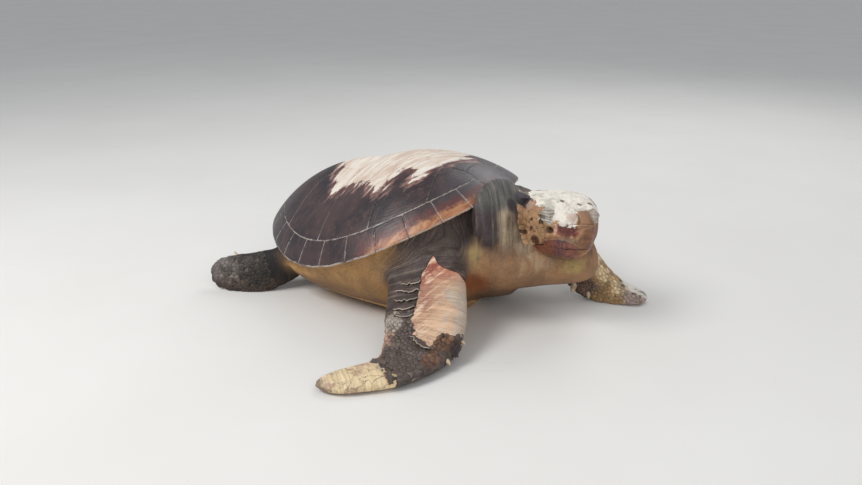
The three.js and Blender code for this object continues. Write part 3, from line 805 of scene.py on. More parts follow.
def arm_flesh(u, v, fine):
    """Colour of the peeled side of the right arm, at places on its chart."""
    return painted(
        "raw_cream",
        ("raw_grey", smooth(u + 30 * fine, 120, 165)),
        ("raw_peach", smooth(-v + 14 * fine, -60, 0)),
    )


def markings(points):
    """Colours and fields of the hide at model points: the same for the skin and for the scales on it."""
    part, t, turn = atlas(points)
    lumps, fine = mottles(points)
    body, head = local(points, BODY), local(points, HEAD)
    along_neck = points @ TIP_WAY
    z = points[:, 2]
    of_head, of_neck = on_head(points, part), belongs(part, "neck", "nape")
    right, left = belongs(part, "front_flipper_right"), belongs(part, "front_flipper_left")

    arm = painted("arm", ("arm_grey", 0.3 + 0.5 * fine))
    colour = trunk_colour(points, arm, lumps)
    for rows, skin in (
        (of_neck, neck_colour(points, along_neck, lumps, fine)),
        (belongs(part, "rear_flipper_right", "rear_flipper_left", "tail"), rear_colour(t, turn, fine)),
        (left, far_colour(points, t, turn, arm, lumps, fine)),
        (right, near_colour(points, t, turn, arm, lumps, fine)),
        (of_head, face_colour(head, lumps, fine)),
    ):
        colour[rows] = skin[rows]

    # bare places, where the outer skin is gone
    chart = arm_chart(points)
    u, v = chart.T
    peeled = np.where(right, outline_distance(chart, PEELED) / 22, -1)
    sleeve = np.where(right, ((points - SLEEVE_END) @ SLEEVE_WAY) / 0.022, -1)
    crown = np.where(of_head, crown_height(head) / 12, -1)
    far_hand = np.where(left, blob(points, (0.57, 0.4, 0.03), (0.09, 0.035, 0.03)) * 2, -1)
    far_tip = painted("crown", ("olive", 0.8 * smooth(fine + 0.6 * lumps, 0.0, 0.4)))
    flesh = np.select(
        [rows[:, None] for rows in (of_head, left, sleeve > -1)],
        [crown_colour(head, lumps, fine), far_tip, hand_flesh(points, lumps, fine)],
        arm_flesh(u, v, fine),
    )
    red = np.clip(1.35 - v / 140 - (u - 58) / 100 + 0.4 * lumps, 0, 1) * right * (sleeve < -1)
    red_crown = 0.35 * of_head * patch(head, (106, -88, 52), (22, 30, 20), high=0.5)

    neck_folds = 0.1 + 0.8 * smooth(z, 0.19, 0.27)
    shoulder_folds = 0.75 * smooth(body[:, 0], 160, 200) * smooth(body[:, 2], 0, 40)
    return {
        "hide": colour,
        "flesh": flesh,
        "crack": np.select([sleeve > -1, of_head], [1.0, 0.3], 0.0),
        "lip": np.where(of_head, 0.1, 0.75),
        "spot": np.where(of_head, cheek_spots(head), -1),
        "bare": np.clip(np.maximum.reduce([peeled, sleeve, crown, far_hand]), -1, 1),
        "red": np.maximum(red, red_crown),
        "wrinkle": np.select(
            [of_neck, belongs(part, "trunk"), right, left],
            [neck_folds, shoulder_folds, 0.85, 0.7],
            0.2,
        ),
        "along": np.select([right, left], [0.66 * t, 0.62 * t], along_neck),
    }


# ---------------------------------------------------------------- the shell's form
def rim(bearing):
    """Plan point of the shell's rim, from the dome's centre line, at a bearing from the nape."""
    taper = 1 + 0.128 * np.cos(bearing) - 0.028 * np.cos(2 * bearing)
    return SHELL_LENGTH / 2 * np.cos(bearing) - CENTRE_X, RIM_HALF_WIDTH * np.sin(bearing) * taper


def shell_place(body):
    """Share of the way out to the rim, and bearing from the nape, of body points."""
    x, y = body[:, 0] - CENTRE_X, np.abs(body[:, 1])
    low, high = np.zeros(len(x)), np.full(len(x), np.pi)
    for _ in range(34):
        bearing = (low + high) / 2
        rim_x, rim_y = rim(bearing)
        past = x * rim_y - y * rim_x > 0
        low, high = np.where(past, low, bearing), np.where(past, bearing, high)
    rim_x, rim_y = rim(bearing)
    return np.hypot(x, y) / np.hypot(rim_x, rim_y), bearing


def dome(out, bearing):
    """Height of the shell's top in the body frame."""
    out = np.clip(out, 0, 1)
    level = 140 + 45 * np.cos(2 * bearing) - 11 * np.cos(3 * bearing)
    return RIM_LEVEL + (level - RIM_LEVEL) * out + DOME_HEIGHT * (1 - out**2.1) ** 0.888


def under_shell(points, trunk_share):
    """Points, with those that would come through the shell's plates set back beneath them."""
    body = local(points, BODY)
    out, bearing = shell_place(body)
    fold = np.linalg.norm((body - NAPE_AT) / NAPE_REACH, axis=1)
    rear = 0.08 * smooth(-body[:, 0], 60, 120) * trunk_share
    free = smooth(fold, 1.25, 1.4) * smooth(-out, -0.995 - rear, -0.97 - rear)
    over = np.maximum(body[:, 2] - (dome(out, bearing) - 7), 0)
    rim_level = dome(np.ones(len(out)), bearing)
    body[:, 2] -= over * free
    beside = smooth(body[:, 2] - rim_level, -36, -26) * smooth(-body[:, 0], 60, 130) * trunk_share
    share = 1 - beside * np.maximum(out - 0.94, 0) / np.maximum(out, 0.5)
    body[:, 0] = CENTRE_X + (body[:, 0] - CENTRE_X) * share
    body[:, 1] *= share
    return placed(body, BODY)


# ---------------------------------------------------------------- skin
SKIN_FACE = 0.0074  # size of the skin's faces before the finer places are split
SKIN_FLOOR = 0.0012  # the skin's lowest level
EYE_AT = np.array([0.72 * HEAD_LENGTH, 0.262 * HEAD_WIDTH, 0.13 * HEAD_WIDTH])
EYE_RADIUS = 17
HOLLOW_AT = (198, -62, -1)
HOLLOW_REACH = (13, 16, 9)


def skull_fit(head):
    """How far head points lie out from the skull's middle line, as a share of its surface there."""
    t = np.clip(head[:, 0] / HEAD_LENGTH, 0.003, 0.997)
    half, top, base, middle = skull_section(t)
    up = head[:, 2] - middle
    squareness = np.where(up > 0, *SKULL_SQUARENESS)
    across = (np.abs(head[:, 1]) / half) ** (2 / squareness)
    upward = (np.abs(up) / np.where(up > 0, top, base)) ** (2 / squareness)
    return (across + upward) ** (squareness / 2), middle


def head_nearness(points):
    """1 on the head and 0 away from it."""
    head = local(points, HEAD)
    fit, _ = skull_fit(head)
    return smooth(-fit, -1.4, -1.15) * smooth(head[:, 0], 0, 25)


def on_head(points, part):
    """Whether skin points belong to the head, with the back of the cheek beside the neck's fold."""
    head = local(points, HEAD)
    fit, _ = skull_fit(head)
    back = (fit < 1.16) & (head[:, 0] > 26) & (head[:, 1] < 0) & (head[:, 2] > -45)
    return belongs(part, "head") | (belongs(part, "neck", "nape") & back)


BEAK_EDGE = profile([(-60, 176), (-42, 182), (-13, 192), (13, 202), (26, 222), (60, 240)])


def horn_zone(head):
    """Distance into the beak's or the jaw's zone of the head, in millimetres."""
    x, _, z = head.T
    beak = np.minimum.reduce([x - BEAK_EDGE(z), 26 - z, z - MOUTH_LEVEL(x)])
    jaw = np.minimum(MOUTH_LEVEL(x) - z, x - 118)
    return np.maximum(beak, jaw)


def sculpt_head(points):
    """Moves skin points of the head: horn seats, eye sockets, lids, brows, hollow, nostrils and crown."""
    head = local(points, HEAD)
    shape = head.copy()
    fit, middle = skull_fit(head)
    axis = np.column_stack([np.zeros(len(head)), head[:, 1], head[:, 2] - middle])
    outward = unit(axis)
    beyond = np.linalg.norm(axis, axis=1) * (1 - 1 / np.maximum(fit, 0.1))
    near = smooth(fit, 0.8, 0.9) * smooth(head[:, 0], 20, 50) * smooth(-beyond, -22, -14)

    def push(amount):
        shape[:] += outward * (amount * near)[:, None]

    push(-4.5 * smooth(horn_zone(head), -0.3, 3))
    bare = smooth(crown_height(head) + 4 * rough(points, 0.02, 5), -1.5, 1.5)
    push(bare * (1.2 * rough(points, 0.016, 7) + 2.6 * rough(points, 0.045, 19) - 1.2))
    push(-14 * patch(head, RED_AT, (31, 33, 25), high=0.5))
    snout = blobs(head, ((204, -6, 34), (22, 22, 18)), ((196, -20, 36), (26, 16, 14)))
    push(6 * smooth(snout, 0, 0.9))
    push(-6 * patch(head, (210, 12, 30), (14, 5, 16), 0.2 * rough(points, 0.012, 4), high=0.6))
    push(5 * patch(on_right(head), (168, -66, 50), (40, 22, 11), high=0.8))  # brows
    push(3 * patch(on_right(head), (110, -100, -20), (60, 40, 40), high=0.8))  # cheeks
    push(-13 * patch(head, HOLLOW_AT, HOLLOW_REACH, high=0.45))
    push(-7 * patch(on_right(head), (218, -9, 24), (5, 5, 5), high=0.6))  # nostrils
    slots = blobs(head, ((149, -13, 66), (10, 9, 9)), ((153, 46, 60), (6, 17, 9)))
    push(-5 * smooth(slots + 0.2 * rough(points, 0.01, 6), 0, 0.5))
    for side in (-1, 1):
        centre = EYE_AT * (1, side, 1)
        off = shape - centre
        along, height = off[:, 0] + 0.35 * off[:, 2], off[:, 2]
        across = np.hypot(along / 23, height / 17)
        half_open = 3.6 * np.sqrt(np.clip(1 - (along / 14) ** 2, 0, 1)) - 0.8
        lid = EYE_RADIUS + 3.0 + 1.2 * np.cos(0.95 * lid_level(head)) * smooth(across, 0.3, 0.5)
        opening = smooth(half_open - np.abs(height + 1), -0.8, 0.8)
        length = np.linalg.norm(off, axis=1)
        share = smooth(-across, -1.15, -0.75) * (off[:, 1] * side > 0) * near * smooth(-length, -50, -38)
        target = centre + off / np.maximum(length, 1)[:, None] * (lid - opening * 6)[:, None]
        shape[:] += (target - shape) * share[:, None]
        groove = bell(across, 1.12, 0.14) * (off[:, 1] * side > 0)
        push(-2.4 * groove * smooth(-length, -50, -38))
        off = shape - centre
        length = np.linalg.norm(off, axis=1)
        short = np.maximum(EYE_RADIUS + 1.7 - length, 0) * (1 - opening * share) * (off[:, 1] * side > -6)
        shape[:] += unit(off) * short[:, None]
    return placed(shape, HEAD)


def build_skin():
    """One closed skin over the body's parts, finest round the head and the right eye."""
    bm = bmesh.new()
    for place, around, along in FORMS.values():
        loft(bm, around, along, place, COAT)
    skin = new_piece("skin", bm)
    mesh = remesh(skin, SKIN_FACE)
    points, ends = coords(mesh), edge_ends(mesh)
    part, t, _ = atlas(points)
    crisp = head_nearness(points)
    points = smoothed(points, ends, 5)
    points = relaxed(points, ends, 24, 0.5 * joints(part, ends, 14) * (1 - 0.8 * crisp))
    move(mesh, points)

    head, body = local(points, HEAD), local(points, BODY)
    in_head = (head[:, 0] > 12) & (np.abs(head[:, 1]) < 125) & (np.abs(head[:, 2]) < 105)
    showing = (shell_place(body)[0] > 0.9) | (body[:, 2] < 60)
    neck = belongs(part, "neck", "nape") & (points[:, 2] > 0.1) & showing
    arm = belongs(part, "front_flipper_right") & (t > 0.12)
    subdivide(mesh, in_head | neck | arm)
    head = local(coords(mesh), HEAD)
    subdivide(mesh, (head[:, 0] > 125) & (np.abs(head[:, 1]) < 110) & (head[:, 2] > -60) & (head[:, 2] < 90))
    head = local(coords(mesh), HEAD)
    subdivide(mesh, np.linalg.norm(head - EYE_AT * (1, -1.2, 1), axis=1) < 32)
    ends = edge_ends(mesh)
    points = smoothed(coords(mesh), ends, 4)
    trunk_share = relaxed(belongs(atlas(points)[0], "trunk"), ends, 12)[:, 0]
    move(mesh, sculpt_head(under_shell(points, trunk_share)))
    fold_skin(mesh)
    mesh.shade_smooth()
    return skin


def fold_skin(mesh):
    """Marks the skin, and gives it its folds, its worn places and the arm's knobs."""
    points, out, ends = coords(mesh), normals(mesh), edge_ends(mesh)
    look = markings(points)
    meeting = 0.6 * joints(atlas(points)[0], ends, 14) * (1 - head_nearness(points))
    for name in ("hide", "along", "wrinkle"):
        soft = relaxed(look[name], ends, 40, meeting)
        look[name] = soft if look[name].ndim > 1 else soft[:, 0]
    look["along"] = relaxed(look["along"], ends, 12)[:, 0]
    look["hide"] = relaxed(look["hide"], ends, 2)
    calm = smooth(-local(points, HEAD)[:, 0], -60, -20)
    line = 1000 * look["along"] + 16 * rough(points, 0.1, 8) + 5 * rough(points, 0.03, 9)
    fold = np.abs(np.sin(line * 0.2)) ** 0.7 * 0.9 + np.abs(np.sin(line * 0.085 + 1.3)) ** 0.5 * 1.5 - 2.4
    worn = smooth(look["bare"] + 0.25 * rough(points, 0.03, 10), 0, 0.12)
    depth = look["wrinkle"] * calm * fold * (1 - 0.6 * worn) - 1.6 * worn * calm
    knobs = 7 * patch(points, KNOB_AT, (0.03, 0.03, 0.02), high=0.7)
    knobs += 7 * patch(points, DARK_KNOB_AT, (0.018, 0.018, 0.014), high=0.7)
    points = points + out * ((depth + knobs) * MM)[:, None]
    points[:, 2] = np.maximum(points[:, 2], SKIN_FLOOR)
    move(mesh, points)
    mark(mesh, **look)


# ---------------------------------------------------------------- shell
# The bleached patch over the crown, in plan.
BLEACHED = [
    (-101, -52), (-81, -142), (-54, -142), (4, -139), (62, -152), (103, -187), (132, -172), (149, -134),
    (157, -106), (198, -114), (197, -160), (221, -127), (248, -72), (290, 29), (250, 95), (150, 120),
    (60, 150), (-20, 110), (-80, 60), (-108, 0),
]  # fmt: skip
PLATE_FACE = 0.0029  # size of a plate's faces


def copied(node):
    """A merged copy of a node's mesh as a new piece."""
    bm = opened(NODES[node].data)
    bmesh.ops.remove_doubles(bm, verts=bm.verts, dist=1e-6)
    return new_piece(f"{node}_fine", bm)


def drop_crumbs(mesh):
    """Keeps the largest connected part of a rebuilt mesh."""
    bm = opened(mesh)
    unseen = set(bm.verts)
    parts = []
    while unseen:
        part = [unseen.pop()]
        for vert in part:
            near = {edge.other_vert(vert) for edge in vert.link_edges} & unseen
            unseen -= near
            part.extend(near)
        parts.append(part)
    parts.sort(key=len)
    bmesh.ops.delete(bm, geom=[vert for part in parts[:-1] for vert in part], context="VERTS")
    closed(bm, mesh)


def nearest_distance(points, others):
    tree = tree_of(others)
    return np.array([tree.find(p)[2] for p in points])


def shell_plate(node):
    """A plate with its top on the dome, sunk along its seams."""
    plate = copied(node)
    mesh = remesh(plate, PLATE_FACE)
    drop_crumbs(mesh)
    points = relaxed(coords(mesh), edge_ends(mesh), 2)
    move(mesh, points)
    body = local(points, BODY)
    facing = normals(mesh) @ BODY[0]
    upward = facing[:, 2]
    out, bearing = shell_place(body)
    gap = dome(out, bearing) - body[:, 2]
    on_top = (upward > 0.3) & (np.abs(gap) < 8) & (out < 0.992)
    wall = (np.abs(upward) < 0.42) | ~on_top & (gap < 7)
    edge = np.zeros(len(points))
    edge[on_top] = nearest_distance(body[on_top], body[wall & (gap < 9)])
    body[:, 2] += (gap - 1.1 * np.exp(-edge / 2.0)) * smooth(8 - np.abs(gap), 0, 3) * on_top
    side = wall & (out < 0.97) & (gap < 12)
    body[:, :2] += facing[:, :2] * (side * 1.1)[:, None]
    move(mesh, placed(body, BODY))
    out, _ = shell_place(body)
    x, y = body[:, 0], body[:, 1]
    mark(
        mesh,
        edge=edge,
        bleach=outline_distance(body[:, :2], BLEACHED),
        rust=smooth(out, 0.86, 1.01) * (y < 0) * smooth(x, 60, 160) * smooth(-x, -395, -350),
        seam=0.2 + 0.8 * smooth(out, 0.78, 0.85),
        grey=np.maximum(smooth(x, 240, 370), 0.55 * smooth(-x, 210, 330)),
        under=smooth(-upward, -0.1, 0.3) * (gap > 4),
    )
    mesh.shade_smooth()
    return dress(plate, "shell", "shell", node)


# ---------------------------------------------------------------- shader nodes
class Wiring:
    """Adds nodes to a tree and wires them; a value may be a socket, a plain value or a colour's code."""

    def __init__(self, tree):
        self.tree = tree

    def put(self, socket, value):
        if isinstance(value, bpy.types.NodeSocket):
            self.tree.links.new(value, socket)
        elif value is not None:
            socket.default_value = (*linear(value), 1.0) if isinstance(value, str) else value

    def add(self, kind, inputs=(), output=0, **settings):
        node = self.tree.nodes.new(kind)
        for name, value in settings.items():
            setattr(node, name, value)
        pairs = inputs.items() if isinstance(inputs, dict) else enumerate(inputs)
        for key, value in pairs:
            self.put(node.inputs[key], value)
        return node.outputs[output]

    def math(self, operation, *values, clamp=False):
        """The values taken together from the first to the last."""
        total, *others = values
        for other in others:
            total = self.add("ShaderNodeMath", (total, other), operation=operation, use_clamp=clamp)
        return total

    def times(self, *values):
        return self.math("MULTIPLY", *values)

    def plus(self, *values):
        return self.math("ADD", *values)

    def swing(self, value, size):
        """Noise from 0 to 1 as a swing about 0."""
        return self.times(self.math("SUBTRACT", value, 0.5), size)

    def mix(self, share, a, b, blend_type="MIX"):
        inputs = {0: share, 6: a, 7: b}
        return self.add("ShaderNodeMix", inputs, 2, data_type="RGBA", blend_type=blend_type)

    def shaded(self, colour, shade):
        """A colour times a plain value."""
        grey = self.add("ShaderNodeCombineColor", (shade, shade, shade))
        return self.mix(1.0, colour, grey, "MULTIPLY")

    def ramp(self, value, low, high, start=0.0, end=1.0):
        inputs = (value, low, high, start, end)
        return self.add("ShaderNodeMapRange", inputs, interpolation_type="SMOOTHSTEP")

    def noise(self, vector, scale, detail=4.0, roughness=0.55, warp=0.0):
        inputs = {"Vector": vector, "Scale": scale, "Detail": detail, "Roughness": roughness}
        return self.add("ShaderNodeTexNoise", {**inputs, "Distortion": warp})

    def across(self, vector, scale, along, detail, roughness):
        """Noise that is long one way, and fine along the given distance."""
        inputs = {"Vector": vector, "W": along, "Scale": scale, "Detail": detail, "Roughness": roughness}
        return self.add("ShaderNodeTexNoise", inputs, noise_dimensions="4D")

    def cells(self, vector, scale):
        inputs = {"Vector": vector, "Scale": scale}
        return self.add("ShaderNodeTexVoronoi", inputs, feature="DISTANCE_TO_EDGE")

    def mark(self, name, output=2):
        return self.add("ShaderNodeAttribute", output=output, attribute_name=name)

    def stretched(self, vector, size, turn):
        """The vector in units of a size along each of three axes, which are turned."""
        radians = tuple(math.radians(a) for a in turn)
        inputs = {"Vector": vector, "Rotation": radians, "Scale": size}
        return self.add("ShaderNodeMapping", inputs, vector_type="TEXTURE")

    def bump(self, height, distance):
        return self.add("ShaderNodeBump", {"Strength": 1.0, "Distance": distance, "Height": height})

    def use(self, tree, **values):
        """Places a group and gives its outputs."""
        node = self.tree.nodes.new("ShaderNodeGroup")
        node.node_tree = tree
        for label, value in values.items():
            self.put(node.inputs[label], value)
        return node.outputs


def group(name, inputs, outputs, build):
    """A node group: inputs and outputs are (name, kind, default) rows, and build wires them."""
    tree = bpy.data.node_groups.new(name, "ShaderNodeTree")
    for label, kind, default in inputs:
        socket = tree.interface.new_socket(label, in_out="INPUT", socket_type=f"NodeSocket{kind}")
        if default is not None:
            socket.default_value = default
    for label, kind in outputs:
        tree.interface.new_socket(label, in_out="OUTPUT", socket_type=f"NodeSocket{kind}")
    wiring = Wiring(tree)
    entry = tree.nodes.new("NodeGroupInput").outputs
    end = tree.nodes.new("NodeGroupOutput")
    for label, socket in build(wiring, entry).items():
        tree.links.new(socket, end.inputs[label])
    return tree


def build_ragged(w, entry):
    """Cuts a soft field to a patch with a ragged, crisp edge."""
    coarse = w.noise(entry["Vector"], entry["Size"], 5.0, 0.65)
    field = w.plus(entry["Field"], w.swing(coarse, entry["Raggedness"]))
    return {"Mask": w.ramp(field, w.times(entry["Softness"], -1.0), entry["Softness"])}


ragged = group(
    "ragged_patch",
    (
        ("Field", "Float", 0.0),
        ("Vector", "Vector", None),
        ("Size", "Float", 30.0),
        ("Raggedness", "Float", 0.6),
        ("Softness", "Float", 0.05),
    ),
    (("Mask", "Float"),),
    build_ragged,
)


def build_grain(w, entry):
    """Fine pebbled relief and a light and dark mottle."""
    relief = w.ramp(w.cells(entry["Vector"], entry["Pebbles"]), 0.0, 0.25)
    mottle = w.noise(entry["Vector"], entry["Mottle"], 6.0, 0.65)
    fine = w.noise(entry["Vector"], w.times(entry["Mottle"], 9.0), 3.0)
    return {"Relief": relief, "Mottle": w.plus(w.times(mottle, 0.7), w.times(fine, 0.3))}


grain = group(
    "pebbled_grain",
    (("Vector", "Vector", None), ("Pebbles", "Float", 180.0), ("Mottle", "Float", 24.0)),
    (("Relief", "Float"), ("Mottle", "Float")),
    build_grain,
)


def build_hide(w, entry):
    """The hide's colour and relief, from the marks stored on the mesh."""
    where = entry["Vector"]
    texture = w.use(grain, Vector=where, Pebbles=entry["Pebbles"], Mottle=22.0)
    base = w.shaded(w.mark("hide", 0), w.ramp(texture["Mottle"], 0.3, 0.72, 0.66, 1.3))
    lines = w.across(where, 8.0, w.times(w.mark("along"), 16.0), 6.0, 0.62)
    wrinkle = w.mark("wrinkle")
    # near-black in the wrinkles' low lines, which the bump below sinks: painted shade in the creases
    base = w.mix(w.times(w.ramp(lines, 0.5, 0.38), wrinkle, 0.6), base, "251b18")
    base = w.mix(w.times(w.ramp(lines, 0.54, 0.66), wrinkle, 0.4), base, "a8957c")
    spots = w.use(ragged, Field=w.mark("spot"), Vector=where, Size=110.0, Raggedness=0.7, Softness=0.14)
    base = w.mix(w.times(spots["Mask"], 0.92), base, "43220f")

    # flesh where the skin is gone, and a dark lip round it
    edge = {"Vector": where, "Size": 34.0, "Raggedness": 0.55, "Softness": 0.03}
    bare = w.use(ragged, Field=w.mark("bare"), **edge)["Mask"]
    outer = w.use(ragged, Field=w.plus(w.mark("bare"), 0.1), **edge)["Mask"]
    fibres = w.across(where, 14.0, w.times(w.mark("along"), 30.0), 5.0, 0.65)
    blotches = w.noise(where, 36.0, 5.0, 0.68)
    torn = w.noise(w.stretched(where, (0.075, 0.011, 0.011), (0, -24, 59)), 1.0, 6.0, 0.72, 0.5)
    flesh = w.shaded(w.mark("flesh", 0), w.ramp(fibres, 0.34, 0.66, 0.88, 1.06))
    flesh = w.mix(w.ramp(blotches, 0.54, 0.74, 0.0, 0.45), flesh, "9c8672")
    red = w.ramp(w.plus(w.times(torn, 0.7), w.times(blotches, 0.3)), 0.56, 0.46)
    flesh = w.mix(w.times(red, w.mark("red"), 0.95), flesh, "955044")
    light = w.times(w.ramp(torn, 0.53, 0.62), w.ramp(w.mark("red"), 0.0, 1.0, 0.2, 0.75))
    flesh = w.mix(light, flesh, "f0ddcd")
    cracks = w.ramp(w.cells(w.mix(0.06, where, w.noise(where, 30.0)), 30.0), 0.0, 0.035, 1.0, 0.0)
    cracks = w.times(cracks, w.mark("crack"))
    flesh = w.mix(w.times(cracks, w.ramp(blotches, 0.48, 0.6, 0.04, 0.9)), flesh, "4a382c")
    lip = w.times(w.math("SUBTRACT", outer, bare, clamp=True), w.mark("lip"))
    base = w.mix(lip, w.mix(bare, base, flesh), "241a18")

    pebbles = w.times(texture["Relief"], w.ramp(bare, 0.0, 1.0, 1.0, 0.2), 0.3)
    folds = w.times(w.ramp(lines, 0.38, 0.56), wrinkle, 0.9)
    surface = w.math("SUBTRACT", w.plus(w.times(fibres, 0.4), w.times(blotches, 0.7)), cracks)
    surface = w.times(w.plus(surface, torn), w.times(bare, 0.7))
    height = w.plus(pebbles, folds, w.times(bare, -0.7), surface)
    return {"Color": base, "Height": height, "Roughness": w.ramp(texture["Mottle"], 0.3, 0.7, 0.5, 0.74)}


hide_group = group(
    "turtle_hide",
    (("Vector", "Vector", None), ("Pebbles", "Float", 190.0)),
    (("Color", "Color"), ("Height", "Float"), ("Roughness", "Float")),
    build_hide,
)


def material(name, build):
    """A material whose build function gives the shader's inputs by name, from the place on the object."""
    made = bpy.data.materials.new(name)
    made.use_nodes = True
    w = Wiring(made.node_tree)
    shader = next(n for n in made.node_tree.nodes if n.type == "BSDF_PRINCIPLED")
    for label, value in build(w, w.add("ShaderNodeTexCoord", output=3)).items():
        w.put(shader.inputs[label], value)
    return made


def hide_look(w, where):
    hide = w.use(hide_group, Vector=where, Pebbles=230.0)
    return {
        "Base Color": hide["Color"],
        "Roughness": hide["Roughness"],
        "Normal": w.bump(hide["Height"], 0.0022),
        "Specular IOR Level": 0.4,
    }


def scale_look(w, where):
    hide = w.use(hide_group, Vector=where, Pebbles=420.0)
    # the tone holds each scale's own random tone and the painted shade low on its sides
    colour = w.shaded(hide["Color"], w.mark("tone"))
    border = w.ramp(w.mark("reach"), 0.86, 1.0)
    return {
        "Base Color": w.mix(w.times(border, w.mark("pale")), colour, "cdb08a"),
        "Roughness": w.times(hide["Roughness"], 0.85),
        "Normal": w.bump(hide["Height"], 0.0008),
        "Specular IOR Level": 0.45,
    }


def shell_look(w, where):
    edge = w.mark("edge")
    cloud = w.noise(where, 9.0, 6.0, 0.62, 0.4)
    speck = w.noise(where, 60.0, 5.0, 0.7)
    streaks = w.noise(w.stretched(where, (0.11, 0.02, 0.05), (0, 0, 63)), 1.0, 6.0, 0.66, 0.35)
    base = w.mix(w.ramp(cloud, 0.35, 0.66), "211a1f", "433030")
    base = w.mix(w.times(w.ramp(streaks, 0.5, 0.72), 0.5), base, "61443f")
    base = w.mix(w.times(w.ramp(speck, 0.56, 0.75), 0.3), base, "7d6c68")
    base = w.mix(w.times(w.mark("grey"), w.ramp(cloud, 0.3, 0.6, 0.45, 1.0), 0.6), base, "6d696c")
    rings = w.math("SINE", w.times(w.plus(edge, w.swing(cloud, 40.0)), 0.7), 0.0)
    base = w.mix(w.times(w.ramp(rings, 0.4, 1.0), 0.06), base, "1c1518")

    rust = w.plus(w.mark("rust"), w.swing(speck, 0.9))
    warm = w.mix(w.ramp(streaks, 0.4, 0.62), "8f5233", "c08c60")
    base = w.mix(w.times(w.ramp(rust, 0.02, 0.4), 0.6), base, "66322a")
    base = w.mix(w.times(w.ramp(rust, 0.5, 0.85), 0.9), base, warm)

    reach = w.math("DIVIDE", w.mark("bleach"), 42.0)
    frayed = w.plus(reach, w.swing(streaks, 2.4), w.swing(speck, 0.7))
    rosy = w.mix(w.ramp(streaks, 0.42, 0.62), "6b3f3a", "b58e80")
    base = w.mix(w.times(w.ramp(frayed, -0.55, 0.05), 0.7), base, rosy)
    chalk = w.mix(w.ramp(streaks, 0.36, 0.62), "c6af9d", "e0d7cb")
    chalk = w.mix(w.ramp(cloud, 0.55, 0.7, 0.0, 0.5), chalk, "b9b3a4")
    pale = w.ramp(frayed, 0.0, 0.2)
    base = w.mix(pale, base, chalk)

    broken = w.ramp(w.noise(where, 26.0, 4.0), 0.36, 0.56, 0.3, 1.0)
    seam = w.times(w.ramp(edge, 0.8, 2.2, 1.0, 0.0), w.mark("seam"), broken)
    base = w.mix(w.mark("under"), w.mix(seam, base, "a59a92"), "a37b4c")
    height = w.plus(w.times(rings, 0.03), w.times(streaks, 0.5), w.times(speck, 0.35), w.times(pale, 0.4))
    glossy = w.plus(w.ramp(pale, 0.0, 1.0, 0.3, 0.68), w.times(speck, 0.22))
    return {"Base Color": base, "Roughness": glossy, "Normal": w.bump(height, 0.0018)}


def plastron_look(w, where):
    cloud = w.noise(where, 12.0, 5.0, 0.6)
    seam = w.ramp(w.mark("edge"), 1.0, 4.0, 1.0, 0.0)
    plain = w.mix(w.ramp(cloud, 0.35, 0.65), "9a6f42", "c69a62")
    return {
        "Base Color": w.mix(w.times(seam, 0.7), plain, "5c4026"),
        "Roughness": w.ramp(cloud, 0.3, 0.7, 0.45, 0.65),
        "Normal": w.bump(w.math("SUBTRACT", w.times(cloud, 0.4), seam), 0.002),
    }


def horn_look(w, where):
    fibres = w.noise(w.stretched(where, (0.03, 0.03, 0.009), (0, 0, -49)), 1.0, 5.0, 0.65)
    speck = w.noise(where, 120.0, 4.0, 0.7)
    base = w.shaded(w.mark("hide", 0), w.ramp(fibres, 0.3, 0.7, 0.66, 1.3))
    height = w.plus(w.times(fibres, w.ramp(w.mark("torn"), 0.0, 1.0, 0.7, 2.0)), speck)
    return {
        "Base Color": w.mix(w.times(w.ramp(speck, 0.6, 0.74), 0.4), base, "2c1a14"),
        "Roughness": w.ramp(speck, 0.3, 0.7, 0.38, 0.6),
        "Normal": w.bump(height, 0.0014),
    }


def eye_look(w, where):
    cloud = w.noise(where, 160.0, 4.0, 0.6)
    white = w.mix(w.ramp(cloud, 0.35, 0.65), "8f8f86", "c8c4b6")
    return {
        "Base Color": w.mix(w.times(w.ramp(w.mark("pupil"), 0.78, 0.9), 0.75), white, "2f2c2a"),
        "Roughness": w.ramp(cloud, 0.3, 0.7, 0.12, 0.3),
        "Coat Weight": 0.5,
    }


def claw_look(w, where):
    bands = w.noise(where, 70.0, 4.0)
    return {
        "Base Color": w.mix(w.ramp(bands, 0.3, 0.7), "a58d72", "dcc8ab"),
        "Roughness": w.ramp(bands, 0.3, 0.7, 0.35, 0.6),
        "Normal": w.bump(bands, 0.0008),
    }


def floor_look(w, where):
    return {"Base Color": w.mix(w.noise(where, 1.5, 3.0), "dcd9d4", "e6e4e0"), "Roughness": 0.85}


MATERIALS = {
    "hide": material("weathered_hide", hide_look),
    "scales": material("flipper_scales", scale_look),
    "shell": material("horny_shell", shell_look),
    "plastron": material("under_shell", plastron_look),
    "horn": material("beak_horn", horn_look),
    "eye": material("clouded_eye", eye_look),
    "claw": material("claw_horn", claw_look),
}


def dress(piece, look, slot, *nodes):
    """Gives a piece its material, rides it on the body, and hides the nodes that it stands for."""
    piece.data.materials.clear()
    piece.data.materials.append(MATERIALS[look])
    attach(piece, "root")
    if nodes:
        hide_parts(*nodes)
    return piece


# ---------------------------------------------------------------- horn, eyes, claws, plastron
HORN_FACE = 0.0021  # size of the horn's faces


